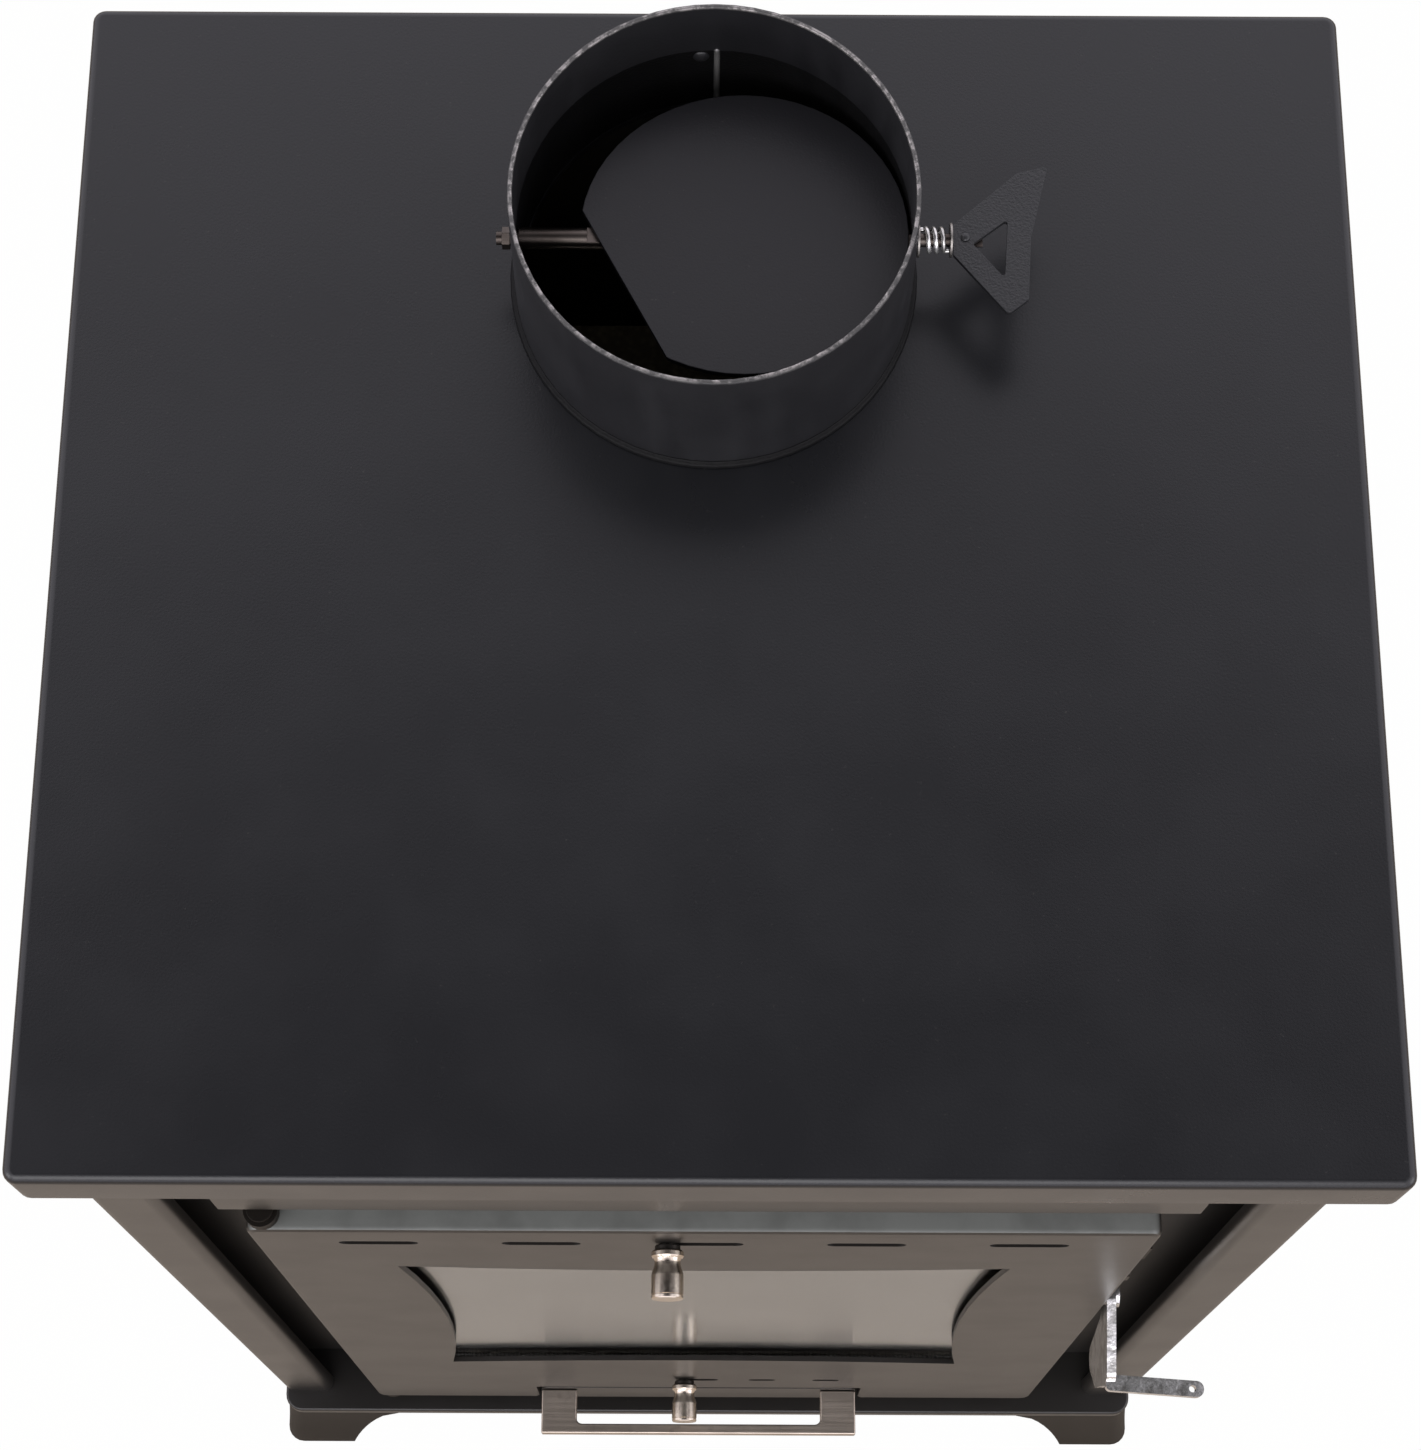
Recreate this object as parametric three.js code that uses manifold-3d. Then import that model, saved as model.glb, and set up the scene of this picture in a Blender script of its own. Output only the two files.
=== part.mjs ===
// Sheet-steel wood stove on bracket feet: folded casing, glazed door with two air sliders and a
// swing latch, ash drawer, lined firebox and a flue collar with a butterfly damper.
// Millimetres, +Z up, +Y to the back, the door faces -Y. The floor is Z = 0.

import * as THREE from 'three';
import { mergeVertices } from 'three/addons/utils/BufferGeometryUtils.js';
import Module from 'manifold-3d';

const wasm = await Module();
wasm.setup();

// ---------- driving dimensions ----------

const seat = 0.3;              // gap left where one piece rests on another
const sheet = 2.5;             // casing and door sheet

const footHeight = 72;
const footFlare = 8;           // how far the sole stands out past the plinth
const footSoleLength = 30;
const footTopLength = 62;
const footWall = 5;
const footCorner = 9;

const plinthHeight = 9;
const plinthOverhang = 10.5;   // plinth in front of the casing
const casingWidth = 462;
const casingHeight = 677;
const casingDepth = 434;
const jambWidth = 26;
const jambReturn = 7.5;
const bendRadius = 2.5;        // inside radius of a fold

const plateSheet = 3;
const plateSkirt = 29;
const plateOverhang = 12;      // top plate past the casing at the front and the back
const plateSide = 10;          // and at each side
const plateCorner = 5;
const plateRoll = 3.5;         // outside radius of the rolled edge

const collarHeight = 67;
const collarRadius = 74.4;     // outside, at the foot, to left and right
const collarTaper = 0.6;       // the rim is this much smaller in radius
const collarOval = 1.03;       // depth over width, as the rolled tube has sprung
const collarWall = 2;
const collarFromBack = 115;    // collar centre to the back edge of the top plate
const weldBead = 2;

const doorWidth = 351;
const doorHeight = 522;
const doorDepth = 22;
const doorCentreX = -2;
const doorLift = 23;           // door above the plinth
const doorProud = 5;           // door face in front of the casing
const doorCorner = 6;
const doorBend = 2.2;

const windowStile = 51;        // door face left at each side of the window
const windowLift = 142.5;      // window foot above the door's foot
const windowDrop = 82.5;       // window head below the door's head
const windowWaist = 9;         // how far each side bows into the opening
const glassDepth = 4.5;        // glass face behind the door face
const glassThickness = 4;
const glassLap = 9;

const slotLength = 31;
const slotHeight = 7;
const slotCount = 5;
const slotMargin = 33.4;       // outermost slots in from the door's edges
const slotDrop = 26;           // slot row below the door's head
const stemSlotReach = 2;       // the middle slot runs this much further left, under the knob
const lowerSlotLength = 14;
const lowerSlotHeight = 6;
const lowerPitch = 33;
const lowerLift = 75;          // lower row above the door's foot
const lowerShift = -3;
const shutterThickness = 1.5;
const shutterHeight = 22;

const stemRadius = 3;
const stemClearance = 0.4;
const knobRadius = 6.35;
const knobLength = 21.5;

const drawerWidth = 166;
const drawerHeight = 39;
const drawerShift = -2.8;      // drawer centre from the door centre
const drawerLength = 318;
const drawerGap = 2.2;
const drawerCorner = 6;        // upper corners of the drawer front, eased to enter the notch
const handleReach = 23;
const handleLeg = 18.5;
const handleBar = 5;
const handleThickness = 8;
const handleDrop = 5;          // handle below the drawer's top edge

const hingeInset = 7;          // pin axis in from the door's left edge
const hingeSetback = 6.8;      // and behind the door face
const hingePinRadius = 3.5;
const hingeBoss = 6.6;

const latchDrop = 200;         // lever pivot below the door's head
const latchSetback = 8;        // lever pivot behind the door face
const latchPlate = 4;
const latchReach = 43;         // grip length along X
const latchLockAngle = 28;     // degrees, from released to hooked
const gripDepth = 7;
const gripSlope = 3;           // its tip stands further forward than its root
const gripThickness = 5;

const headerWidth = 370;
const headerGap = 13;          // above the door's head
const recessDepth = 23;        // firebox front behind the casing face
const frontPlate = 3;
const fireboxWidth = 380;
const fireboxDepth = 383;
const fireboxWall = 3;
const fireOpeningWidth = 300;
const fireOpeningHeight = 418;
const floorHeight = 77;        // hearth plate above the plinth
const brickThickness = 25;
const brickHeight = 400;
const baffleThickness = 20;
const baffleDepth = 262;
const grateWidth = 168;
const grateDepth = 196;
const ropeRadius = 4.8;

const axleHeight = 30;         // damper axle above the top plate
const axleRadius = 4;
const journalRadius = 2.5;
const damperRadius = 60;
const damperShift = 11;
const damperTilt = 5;          // degrees, front edge raised
const damperThickness = 2.5;
const springRadius = 4.3;      // to the middle of the wire
const springWire = 0.9;        // wire radius
const springTurns = 2.5;
const kiteThickness = 2;

// ---------- places worked out from them ----------

const plinthTop = footHeight + plinthHeight;
const casingTop = plinthTop + casingHeight;
const plateTop = casingTop + plateSheet;
const plateWidth = casingWidth + 2 * plateSide;
const plateDepth = casingDepth + 2 * plateOverhang;
const casingFront = -casingDepth / 2;
const casingBack = casingDepth / 2;
const doorFace = casingFront - doorProud;
const doorBackFace = doorFace + doorDepth;
const doorLeft = doorCentreX - doorWidth / 2;
const doorRight = doorCentreX + doorWidth / 2;
const doorFoot = plinthTop + doorLift;
const doorHead = doorFoot + doorHeight;
const fireboxFront = casingFront + recessDepth;
const fireboxFace = fireboxFront + frontPlate;
const hearthTop = plinthTop + floorHeight + fireboxWall;
const collarY = plateDepth / 2 - collarFromBack;
const drawerX = doorCentreX + drawerShift;
const drawerTop = doorFoot + drawerHeight;
const notchTop = drawerTop + drawerGap;
const hingeX = doorLeft + hingeInset;
const hingeY = doorFace + hingeSetback;
const latchY = doorFace + latchSetback;
const latchZ = doorHead - latchDrop;
const latchX = doorRight + 1.4;
const windowWidth = doorWidth - 2 * windowStile;
const windowHeight = doorHeight - windowLift - windowDrop;
const slotPitch = (doorWidth - 2 * slotMargin - slotLength) / (slotCount - 1);
const gripFront = 45;          // grip's tip from the lever pivot
const upperRowZ = doorHead - slotDrop;
const lowerRowZ = doorFoot + lowerLift;
const sliderTravel = slotLength + stemSlotReach - 2 * (stemRadius + stemClearance);
const lowerTravel = 14;
const frontReach = latchY - gripFront;
const centreY = (frontReach + plateDepth / 2) / 2;

// ---------- materials ----------

const finish = (color, roughness, metalness) =>
  new THREE.MeshStandardMaterial({ color, roughness, metalness });
const blackPaint = finish(0x34353a, 0.5, 0.4);
const recessPaint = finish(0x1c1b1a, 0.8, 0.2);
const bareSteel = finish(0x8a857e, 0.4, 0.9);
const nickel = finish(0xa79d8e, 0.3, 0.95);
const chrome = finish(0xd8dade, 0.12, 1);
const castIron = finish(0x2c2a28, 0.75, 0.5);
const vermiculite = finish(0xc2a878, 0.95, 0);
const fireGlass = finish(0x4b4640, 0.08, 0);
const rope = finish(0x2a2a2a, 0.95, 0);

// ---------- geometry helpers ----------

const stove = new THREE.Group();
stove.position.set(0, -centreY, 0);

function add(name, geometry, material) {
  const mesh = new THREE.Mesh(geometry, material);
  mesh.name = name;
  stove.add(mesh);
}

function toSolid(geometry) {
  const bare = geometry.clone();
  bare.deleteAttribute('normal');
  bare.deleteAttribute('uv');
  const merged = mergeVertices(bare, 1e-4);
  const triVerts = merged.index
    ? Uint32Array.from(merged.index.array)
    : Uint32Array.from({ length: merged.attributes.position.count }, (_, i) => i);
  const vertProperties = Float32Array.from(merged.attributes.position.array);
  return new wasm.Manifold(new wasm.Mesh({ numProp: 3, vertProperties, triVerts }));
}

function toGeometry(solid) {
  const mesh = solid.getMesh();
  const geometry = new THREE.BufferGeometry();
  geometry.setAttribute('position', new THREE.BufferAttribute(mesh.vertProperties, 3));
  geometry.setIndex(new THREE.BufferAttribute(mesh.triVerts, 1));
  geometry.computeVertexNormals();
  return geometry;
}

function cut(base, ...tools) {
  let solid = toSolid(base);
  for (const tool of tools) solid = solid.subtract(toSolid(tool));
  return toGeometry(solid);
}

function join(...pieces) {
  let solid = toSolid(pieces[0]);
  for (const piece of pieces.slice(1)) solid = solid.add(toSolid(piece));
  return toGeometry(solid);
}

function box(x0, x1, y0, y1, z0, z1) {
  return new THREE.BoxGeometry(x1 - x0, y1 - y0, z1 - z0)
    .translate((x0 + x1) / 2, (y0 + y1) / 2, (z0 + z1) / 2);
}

// A shape drawn in (x, y) is raised along Z, one in (x, z) runs along Y, and one in (y, z) along X.
function alongZ(shape, z0, z1, curveSegments = 8) {
  return new THREE.ExtrudeGeometry(shape, { depth: z1 - z0, bevelEnabled: false, curveSegments })
    .translate(0, 0, z0);
}

function alongY(shape, y0, y1, curveSegments = 8) {
  return new THREE.ExtrudeGeometry(shape, { depth: y1 - y0, bevelEnabled: false, curveSegments })
    .rotateX(Math.PI / 2)
    .translate(0, y1, 0);
}

const yzAxes = new THREE.Matrix4().makeBasis(
  new THREE.Vector3(0, 1, 0), new THREE.Vector3(0, 0, 1), new THREE.Vector3(1, 0, 0));

function alongX(shape, x0, x1, curveSegments = 8) {
  return new THREE.ExtrudeGeometry(shape, { depth: x1 - x0, bevelEnabled: false, curveSegments })
    .applyMatrix4(yzAxes)
    .translate(x0, 0, 0);
}

function rodX(radius, x0, x1, y, z, sides = 20) {
  return new THREE.CylinderGeometry(radius, radius, x1 - x0, sides)
    .rotateZ(Math.PI / 2)
    .translate((x0 + x1) / 2, y, z);
}

function rodZ(radius, z0, z1, x, y, sides = 20) {
  return new THREE.CylinderGeometry(radius, radius, z1 - z0, sides)
    .rotateX(Math.PI / 2)
    .translate(x, y, (z0 + z1) / 2);
}

// Rounds the corners of a path; an open path keeps its two ends sharp.
function rounded(points, radii, closed, steps = 4) {
  const out = [];
  const count = points.length;
  points.forEach((point, i) => {
    const radius = Array.isArray(radii) ? radii[i] : radii;
    if ((!closed && (i === 0 || i === count - 1)) || radius === 0) {
      out.push(point.clone());
      return;
    }
    const toPrev = points[(i + count - 1) % count].clone().sub(point).normalize();
    const toNext = points[(i + 1) % count].clone().sub(point).normalize();
    const half = Math.acos(THREE.MathUtils.clamp(toPrev.dot(toNext), -1, 1)) / 2;
    const bisector = toPrev.clone().add(toNext).normalize();
    const centre = bisector.multiplyScalar(radius / Math.sin(half)).add(point);
    const first = toPrev.multiplyScalar(radius / Math.tan(half)).add(point).sub(centre);
    const last = toNext.multiplyScalar(radius / Math.tan(half)).add(point).sub(centre);
    const start = Math.atan2(first.y, first.x);
    let sweep = Math.atan2(last.y, last.x) - start;
    if (sweep > Math.PI) sweep -= 2 * Math.PI;
    if (sweep < -Math.PI) sweep += 2 * Math.PI;
    for (let k = 0; k <= steps; k++) {
      const angle = start + sweep * k / steps;
      out.push(new THREE.Vector2(Math.cos(angle), Math.sin(angle)).multiplyScalar(radius).add(centre));
    }
  });
  return out;
}

const points2 = (...pairs) => pairs.map(([a, b]) => new THREE.Vector2(a, b));

function polygon(pairs, radii = 0, steps = 4) {
  return new THREE.Shape(rounded(points2(...pairs), radii, true, steps));
}

function rectangle(x0, x1, y0, y1, radius = 0, steps = 4) {
  return polygon([[x0, y0], [x1, y0], [x1, y1], [x0, y1]], radius, steps);
}

function circle(x, y, radius, sides = 20) {
  return new THREE.Shape(Array.from({ length: sides }, (_, i) => {
    const angle = 2 * Math.PI * i / sides;
    return new THREE.Vector2(x + radius * Math.cos(angle), y + radius * Math.sin(angle));
  }));
}

// Outline of a folded sheet: the path follows one face, and the thickness lies to its left.
function folded(pairs, thickness, inside = bendRadius) {
  const path = points2(...pairs);
  const last = path.length - 1;
  const direction = path.slice(1).map((p, i) => p.clone().sub(path[i]).normalize());
  const left = direction.map((d) => new THREE.Vector2(-d.y, d.x).multiplyScalar(thickness));
  const near = [0];
  const far = [0];
  const offset = [path[0].clone().add(left[0])];
  for (let i = 1; i < last; i++) {
    const turn = direction[i - 1].cross(direction[i]);
    near.push(turn > 0 ? inside + thickness : inside);
    far.push(turn > 0 ? inside : inside + thickness);
    const sum = left[i - 1].clone().add(left[i]);
    const scale = 2 * thickness * thickness / sum.lengthSq();
    offset.push(path[i].clone().add(sum.multiplyScalar(scale)));
  }
  near.push(0);
  far.push(0);
  offset.push(path[last].clone().add(left[last - 1]));
  return new THREE.Shape([...rounded(path, near, false), ...rounded(offset, far, false).reverse()]);
}

// Skins a stack of like rings and caps the first and the last.
function skin(rings) {
  const size = rings[0].length;
  const positions = rings.flat().flatMap((p) => [p.x, p.y, p.z]);
  const index = [];
  for (let r = 1; r < rings.length; r++) {
    const a = (r - 1) * size;
    const b = r * size;
    for (let i = 0; i < size; i++) {
      const j = (i + 1) % size;
      index.push(a + i, a + j, b + j, a + i, b + j, b + i);
    }
  }
  const outline = rings[0].map((p) => new THREE.Vector2(p.x, p.y));
  const faces = THREE.ShapeUtils.triangulateShape(outline, []);
  const top = (rings.length - 1) * size;
  for (const [i, j, k] of faces) index.push(k, j, i, top + i, top + j, top + k);
  const geometry = new THREE.BufferGeometry();
  geometry.setAttribute('position', new THREE.Float32BufferAttribute(positions, 3));
  geometry.setIndex(index);
  return geometry;
}

// A round tube along points; it closes on itself, or its ends are capped with a fan.
function tube(path, radius, sides, closed) {
  const rings = path.map((point, i) => {
    const before = closed ? path[(i + path.length - 1) % path.length] : path[Math.max(i - 1, 0)];
    const after = closed ? path[(i + 1) % path.length] : path[Math.min(i + 1, path.length - 1)];
    const tangent = after.clone().sub(before).normalize();
    return { point, tangent };
  });
  let normal = new THREE.Vector3(0, 0, 1);
  if (Math.abs(rings[0].tangent.z) > 0.9) normal.set(0, 1, 0);
  const positions = [];
  rings.forEach(({ point, tangent }) => {
    normal = normal.clone().addScaledVector(tangent, -normal.dot(tangent)).normalize();
    const side = tangent.clone().cross(normal);
    for (let k = 0; k < sides; k++) {
      const angle = 2 * Math.PI * k / sides;
      const p = point.clone()
        .addScaledVector(normal, radius * Math.cos(angle))
        .addScaledVector(side, radius * Math.sin(angle));
      positions.push(p.x, p.y, p.z);
    }
  });
  const index = [];
  const count = rings.length;
  for (let r = 0; r < (closed ? count : count - 1); r++) {
    const a = r * sides;
    const b = ((r + 1) % count) * sides;
    for (let k = 0; k < sides; k++) {
      const n = (k + 1) % sides;
      index.push(a + k, a + n, b + n, a + k, b + n, b + k);
    }
  }
  if (!closed) {
    const end = (count - 1) * sides;
    for (let k = 1; k < sides - 1; k++) index.push(0, k + 1, k, end, end + k, end + k + 1);
  }
  const geometry = new THREE.BufferGeometry();
  geometry.setAttribute('position', new THREE.Float32BufferAttribute(positions, 3));
  geometry.setIndex(index);
  return geometry;
}

// ---------- top plate: a tray with a rolled edge, open below, with the flue hole ----------

function topPlate() {
  const steps = 4;
  const rings = [];
  const ring = (inset, z) => rounded(points2(
    [-plateWidth / 2 + inset, -plateDepth / 2 + inset], [plateWidth / 2 - inset, -plateDepth / 2 + inset],
    [plateWidth / 2 - inset, plateDepth / 2 - inset], [-plateWidth / 2 + inset, plateDepth / 2 - inset],
  ), plateCorner - inset, true, 5).map((p) => new THREE.Vector3(p.x, p.y, z));
  rings.push(ring(0, plateTop - plateSkirt));
  for (let k = 0; k <= steps; k++) {
    const angle = Math.PI / 2 * k / steps;
    rings.push(ring(plateRoll * (1 - Math.cos(angle)), plateTop - plateRoll + plateRoll * Math.sin(angle)));
  }
  const inX = plateWidth / 2 - plateSheet;
  const inY = plateDepth / 2 - plateSheet;
  const hollow = alongZ(rectangle(-inX, inX, -inY, inY, plateCorner - plateSheet + 1),
    0, plateTop - plateSheet);
  const flueHole = rodZ(collarRadius - collarWall, 0, plateTop + 1, 0, 0, 48)
    .scale(1, collarOval, 1)
    .translate(0, collarY, 0);
  return cut(skin(rings), hollow, flueHole);
}

add('top_plate', topPlate(), blackPaint);

// ---------- flue collar: tapered tube on a weld bead, drilled for the damper axle ----------

const axleZ = plateTop + axleHeight;
const collarRadiusAt = (height) => collarRadius - collarTaper * height / collarHeight;

function flueCollar() {
  const rim = collarRadius - collarTaper;
  const profile = points2(
    [collarRadius - collarWall, 0], [collarRadius + weldBead, 0],
    [collarRadius + weldBead * 0.7, weldBead * 0.7], [collarRadius - 0.05, weldBead],
    [rim, collarHeight - 0.6], [rim - 0.5, collarHeight],
    [rim - collarWall + 0.5, collarHeight], [rim - collarWall, collarHeight - 0.6],
    [collarRadius - collarWall, 0],
  );
  const tubeWall = new THREE.LatheGeometry(profile, 64)
    .rotateX(Math.PI / 2)
    .scale(1, collarOval, 1)
    .translate(0, collarY, plateTop + seat);
  const rightHole = rodX(journalRadius + stemClearance, 0, collarRadius + 5, collarY, axleZ, 16);
  const leftHole = rodX(journalRadius + stemClearance, -collarRadius - 5, 0, collarY, axleZ, 16);
  return cut(tubeWall, rightHole, leftHole);
}

add('flue_collar', flueCollar(), blackPaint);

// ---------- casing: two side panels folded round into the front jambs, and the back panel ----------

const casingFloor = plinthTop + seat;
const casingCeiling = casingTop - seat;
const sideX = casingWidth / 2;

function sidePanel(hand) {
  const back = casingBack - seat;
  const path = [
    [sideX - jambWidth, casingFront + jambReturn], [sideX - jambWidth, casingFront],
    [sideX, casingFront], [sideX, back], [sideX - 16, back],
  ];
  const geometry = alongZ(folded(path, sheet), casingFloor, casingCeiling);
  return hand < 0 ? toGeometry(toSolid(geometry).mirror([1, 0, 0])) : geometry;
}

add('side_panel_right', sidePanel(1), blackPaint);
add('side_panel_left', sidePanel(-1), blackPaint);

function backPanel() {
  const half = sideX - sheet - bendRadius - seat;
  const y1 = casingBack - seat - sheet - seat;
  const shape = rectangle(-half, half, casingFloor, casingCeiling);
  const ventCount = 7;
  const ventPitch = 46;
  const ventWidth = 8;
  const ventHeight = 36;
  for (const z of [casingFloor + 60, casingCeiling - 60]) {
    for (let i = 0; i < ventCount; i++) {
      const x = (i - (ventCount - 1) / 2) * ventPitch;
      shape.holes.push(rectangle(x - ventWidth / 2, x + ventWidth / 2,
        z - ventHeight / 2, z + ventHeight / 2, ventWidth / 2 - 0.05, 2));
    }
  }
  return alongY(shape, y1 - sheet, y1);
}

add('back_panel', backPanel(), blackPaint);

// ---------- header strip below the top plate's skirt ----------

const headerFoot = doorHead + headerGap;

function headerStrip() {
  const returnDepth = 9;
  const path = [
    [casingFront + returnDepth, headerFoot], [casingFront, headerFoot],
    [casingFront, casingCeiling], [casingFront + returnDepth, casingCeiling],
  ];
  const shape = folded(path.reverse(), sheet);
  return alongX(shape, -headerWidth / 2, headerWidth / 2);
}

add('header_strip', headerStrip(), blackPaint);

// ---------- plinth: a shallow tray turned down, with eased corners ----------

function plinth() {
  const y0 = casingFront - plinthOverhang;
  const y1 = casingBack + 0.5;
  const edge = 1.5;
  const ring = (inset, z) => rounded(points2(
    [-sideX + inset, y0 + inset], [sideX - inset, y0 + inset],
    [sideX - inset, y1 - inset], [-sideX + inset, y1 - inset],
  ), footCorner - inset, true, 6).map((p) => new THREE.Vector3(p.x, p.y, z));
  const rings = [
    ring(0, footHeight), ring(0, plinthTop - edge),
    ring(edge * 0.3, plinthTop - edge * 0.3), ring(edge, plinthTop),
  ];
  const inset = footWall;
  const hollow = alongZ(rectangle(-sideX + inset, sideX - inset, y0 + inset, y1 - inset, footCorner - inset),
    0, plinthTop - plateSheet);
  return cut(skin(rings), hollow);
}

add('base_plinth', plinth(), blackPaint);

// ---------- bracket feet: L in plan, flared outward, with a hollow-curved inner edge ----------

const footY0 = casingFront - plinthOverhang;
const footY1 = casingBack + 0.5;
const footBoltInset = 24;

function footBracket() {
  const levels = 8;
  const top = footHeight - seat;
  const rings = [];
  for (let k = 0; k <= levels; k++) {
    const share = k / levels;
    const z = top * share;
    const flare = footFlare * (1 - share) ** 1.2;
    const sweep = (share + 1 - Math.sqrt(1 - share * share)) / 2;
    const reach = footSoleLength + (footTopLength - footSoleLength) * sweep;
    const leg = flare + reach;
    const outline = rounded(points2(
      [-flare, -flare], [leg - flare, -flare], [leg - flare, footWall - flare],
      [footWall - flare, footWall - flare], [footWall - flare, leg - flare], [-flare, leg - flare],
    ), [footCorner, 0, 0, footCorner - footWall, 0, 0], true, 5);
    rings.push(outline.map((p) => new THREE.Vector3(p.x, p.y, z)));
  }
  const padReach = footBoltInset + 14;
  const pad = alongZ(polygon([[1, 1], [padReach, 1], [padReach, 12], [12, padReach], [1, padReach]],
    [footCorner - 1, 0, 6, 6, 0], 5), top - footWall, top);
  const boltHole = rodZ(4.4, top - 20, top + 5, footBoltInset, footBoltInset, 16);
  return cut(join(skin(rings), pad), boltHole);
}

function placeFoot(handX, handY) {
  let solid = toSolid(footBracket()).translate([-sideX, footY0, 0]);
  if (handX > 0) solid = solid.mirror([1, 0, 0]);
  if (handY > 0) solid = solid.mirror([0, 1, 0]).translate([0, footY0 + footY1, 0]);
  return toGeometry(solid);
}

const footSites = [
  ['foot_front_left', -1, -1], ['foot_front_right', 1, -1],
  ['foot_rear_left', -1, 1], ['foot_rear_right', 1, 1],
];
for (const [name, handX, handY] of footSites) add(name, placeFoot(handX, handY), blackPaint);

function footBolt(handX, handY) {
  const x = handX * (sideX - footBoltInset);
  const y = handY < 0 ? footY0 + footBoltInset : footY1 - footBoltInset;
  const padFoot = footHeight - seat - footWall;
  return join(
    rodZ(4, padFoot - 12, plinthTop - plateSheet - seat, x, y, 16),
    rodZ(7.5, padFoot - seat - 6, padFoot - seat, x, y, 6),
  );
}

for (const [name, handX, handY] of footSites) {
  add(name.replace('foot', 'foot_bolt'), footBolt(handX, handY), bareSteel);
}

// ---------- firebox: front plate, wrap-round shell, hearth, grate, linings and baffle ----------

const openingFoot = hearthTop + 22;
const ashGap = 4;

function fireboxFrontPlate() {
  const half = sideX - sheet - seat - 0.2;
  const shape = rectangle(-half, half, casingFloor, casingCeiling);
  shape.holes.push(rectangle(doorCentreX - fireOpeningWidth / 2, doorCentreX + fireOpeningWidth / 2,
    openingFoot, openingFoot + fireOpeningHeight, 10));
  shape.holes.push(rectangle(drawerX - drawerWidth / 2 - ashGap, drawerX + drawerWidth / 2 + ashGap,
    plinthTop + 6, drawerTop + ashGap, 2));
  return alongY(shape, fireboxFront, fireboxFace);
}

add('firebox_front', fireboxFrontPlate(), recessPaint);

const shellX = fireboxWidth / 2;
const shellFront = fireboxFace + seat;
const shellBack = shellFront + fireboxDepth;

function fireboxShell() {
  const path = [[shellX, shellFront], [shellX, shellBack], [-shellX, shellBack], [-shellX, shellFront]];
  return alongZ(folded(path, fireboxWall, 4), casingFloor, casingCeiling);
}

add('firebox_shell', fireboxShell(), recessPaint);

const hearthX = shellX - fireboxWall - seat;
const hearthBack = shellBack - fireboxWall - seat;
const grateY = (shellFront + hearthBack) / 2 - 18;

function hearthPlate() {
  const y0 = shellFront;
  const corner = 4.5;
  const shape = polygon(
    [[-hearthX, y0], [hearthX, y0], [hearthX, hearthBack], [-hearthX, hearthBack]],
    [0, 0, corner, corner],
  );
  shape.holes.push(rectangle(-grateWidth / 2 - 1, grateWidth / 2 + 1,
    grateY - grateDepth / 2 - 1, grateY + grateDepth / 2 + 1, 6));
  return alongZ(shape, hearthTop - fireboxWall, hearthTop);
}

add('hearth_plate', hearthPlate(), recessPaint);

function grate() {
  const lip = 8;
  const lipHeight = 5;
  const bodyDrop = 9;
  const halfX = grateWidth / 2;
  const halfY = grateDepth / 2;
  const lipPlate = rectangle(-halfX - lip, halfX + lip, -halfY - lip, halfY + lip, 10);
  const body = rectangle(-halfX, halfX, -halfY, halfY, 5);
  const z = hearthTop + seat;
  const slots = [];
  const rows = 2;
  const bars = 8;
  const slotWidth = 10;
  const pitch = grateWidth / bars;
  for (let r = 0; r < rows; r++) {
    for (let i = 0; i < bars; i++) {
      const x = (i - (bars - 1) / 2) * pitch;
      const y0 = r === 0 ? -halfY + 9 : 6;
      const y1 = r === 0 ? -6 : halfY - 9;
      const shape = rectangle(x - slotWidth / 2, x + slotWidth / 2, y0, y1, slotWidth / 2 - 0.05, 2);
      slots.push(alongZ(shape, z - bodyDrop - 1, z + lipHeight + 1));
    }
  }
  const casting = join(alongZ(lipPlate, z, z + lipHeight), alongZ(body, z - bodyDrop, z + 1));
  return cut(casting, ...slots).translate(0, grateY, 0);
}

add('grate', grate(), castIron);

const brickFoot = hearthTop + seat;
const brickTop = brickFoot + brickHeight;
const brickX = hearthX - seat;
const brickFront = fireboxFace + seat + 20;

function sideBrick(hand) {
  const inner = brickX - brickThickness;
  const chamfer = 3;
  const back = hearthBack - 5;
  const shape = polygon([[inner, brickFront], [brickX, brickFront], [brickX, back], [inner, back]],
    [chamfer, 0, 0, 0], 3);
  const geometry = alongZ(shape, brickFoot, brickTop);
  return hand < 0 ? toGeometry(toSolid(geometry).mirror([1, 0, 0])) : geometry;
}

add('lining_right', sideBrick(1), vermiculite);
add('lining_left', sideBrick(-1), vermiculite);

const rearBrickX = brickX - brickThickness - seat;
add('lining_rear', box(-rearBrickX, rearBrickX, hearthBack - seat - brickThickness, hearthBack - seat,
  brickFoot, brickTop), vermiculite);

const baffleFoot = brickTop + seat;

function bafflePlate() {
  const back = hearthBack - 6;
  const front = back - baffleDepth;
  const top = baffleFoot + baffleThickness;
  const nose = 9;
  const shape = polygon([[front, baffleFoot], [back, baffleFoot], [back, top], [front, top]],
    [nose, 0, 0, nose], 4);
  return alongX(shape, -brickX, brickX);
}

add('baffle_plate', bafflePlate(), vermiculite);

function logGuard() {
  const y = brickFront + 12;
  const top = brickFoot + 42;
  const path = [[y + 9, top], [y, top], [y, brickFoot], [y + 22, brickFoot]];
  return alongX(folded(path, 4, 3), -rearBrickX, rearBrickX);
}

add('log_guard', logGuard(), castIron);

// ---------- door shell: folded pan with waisted window, air slots and a notch for the drawer ----------

const notchLeft = drawerX - drawerWidth / 2 - drawerGap;
const notchRight = drawerX + drawerWidth / 2 + drawerGap;
const panHinge = hingePinRadius + 0.45;

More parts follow.
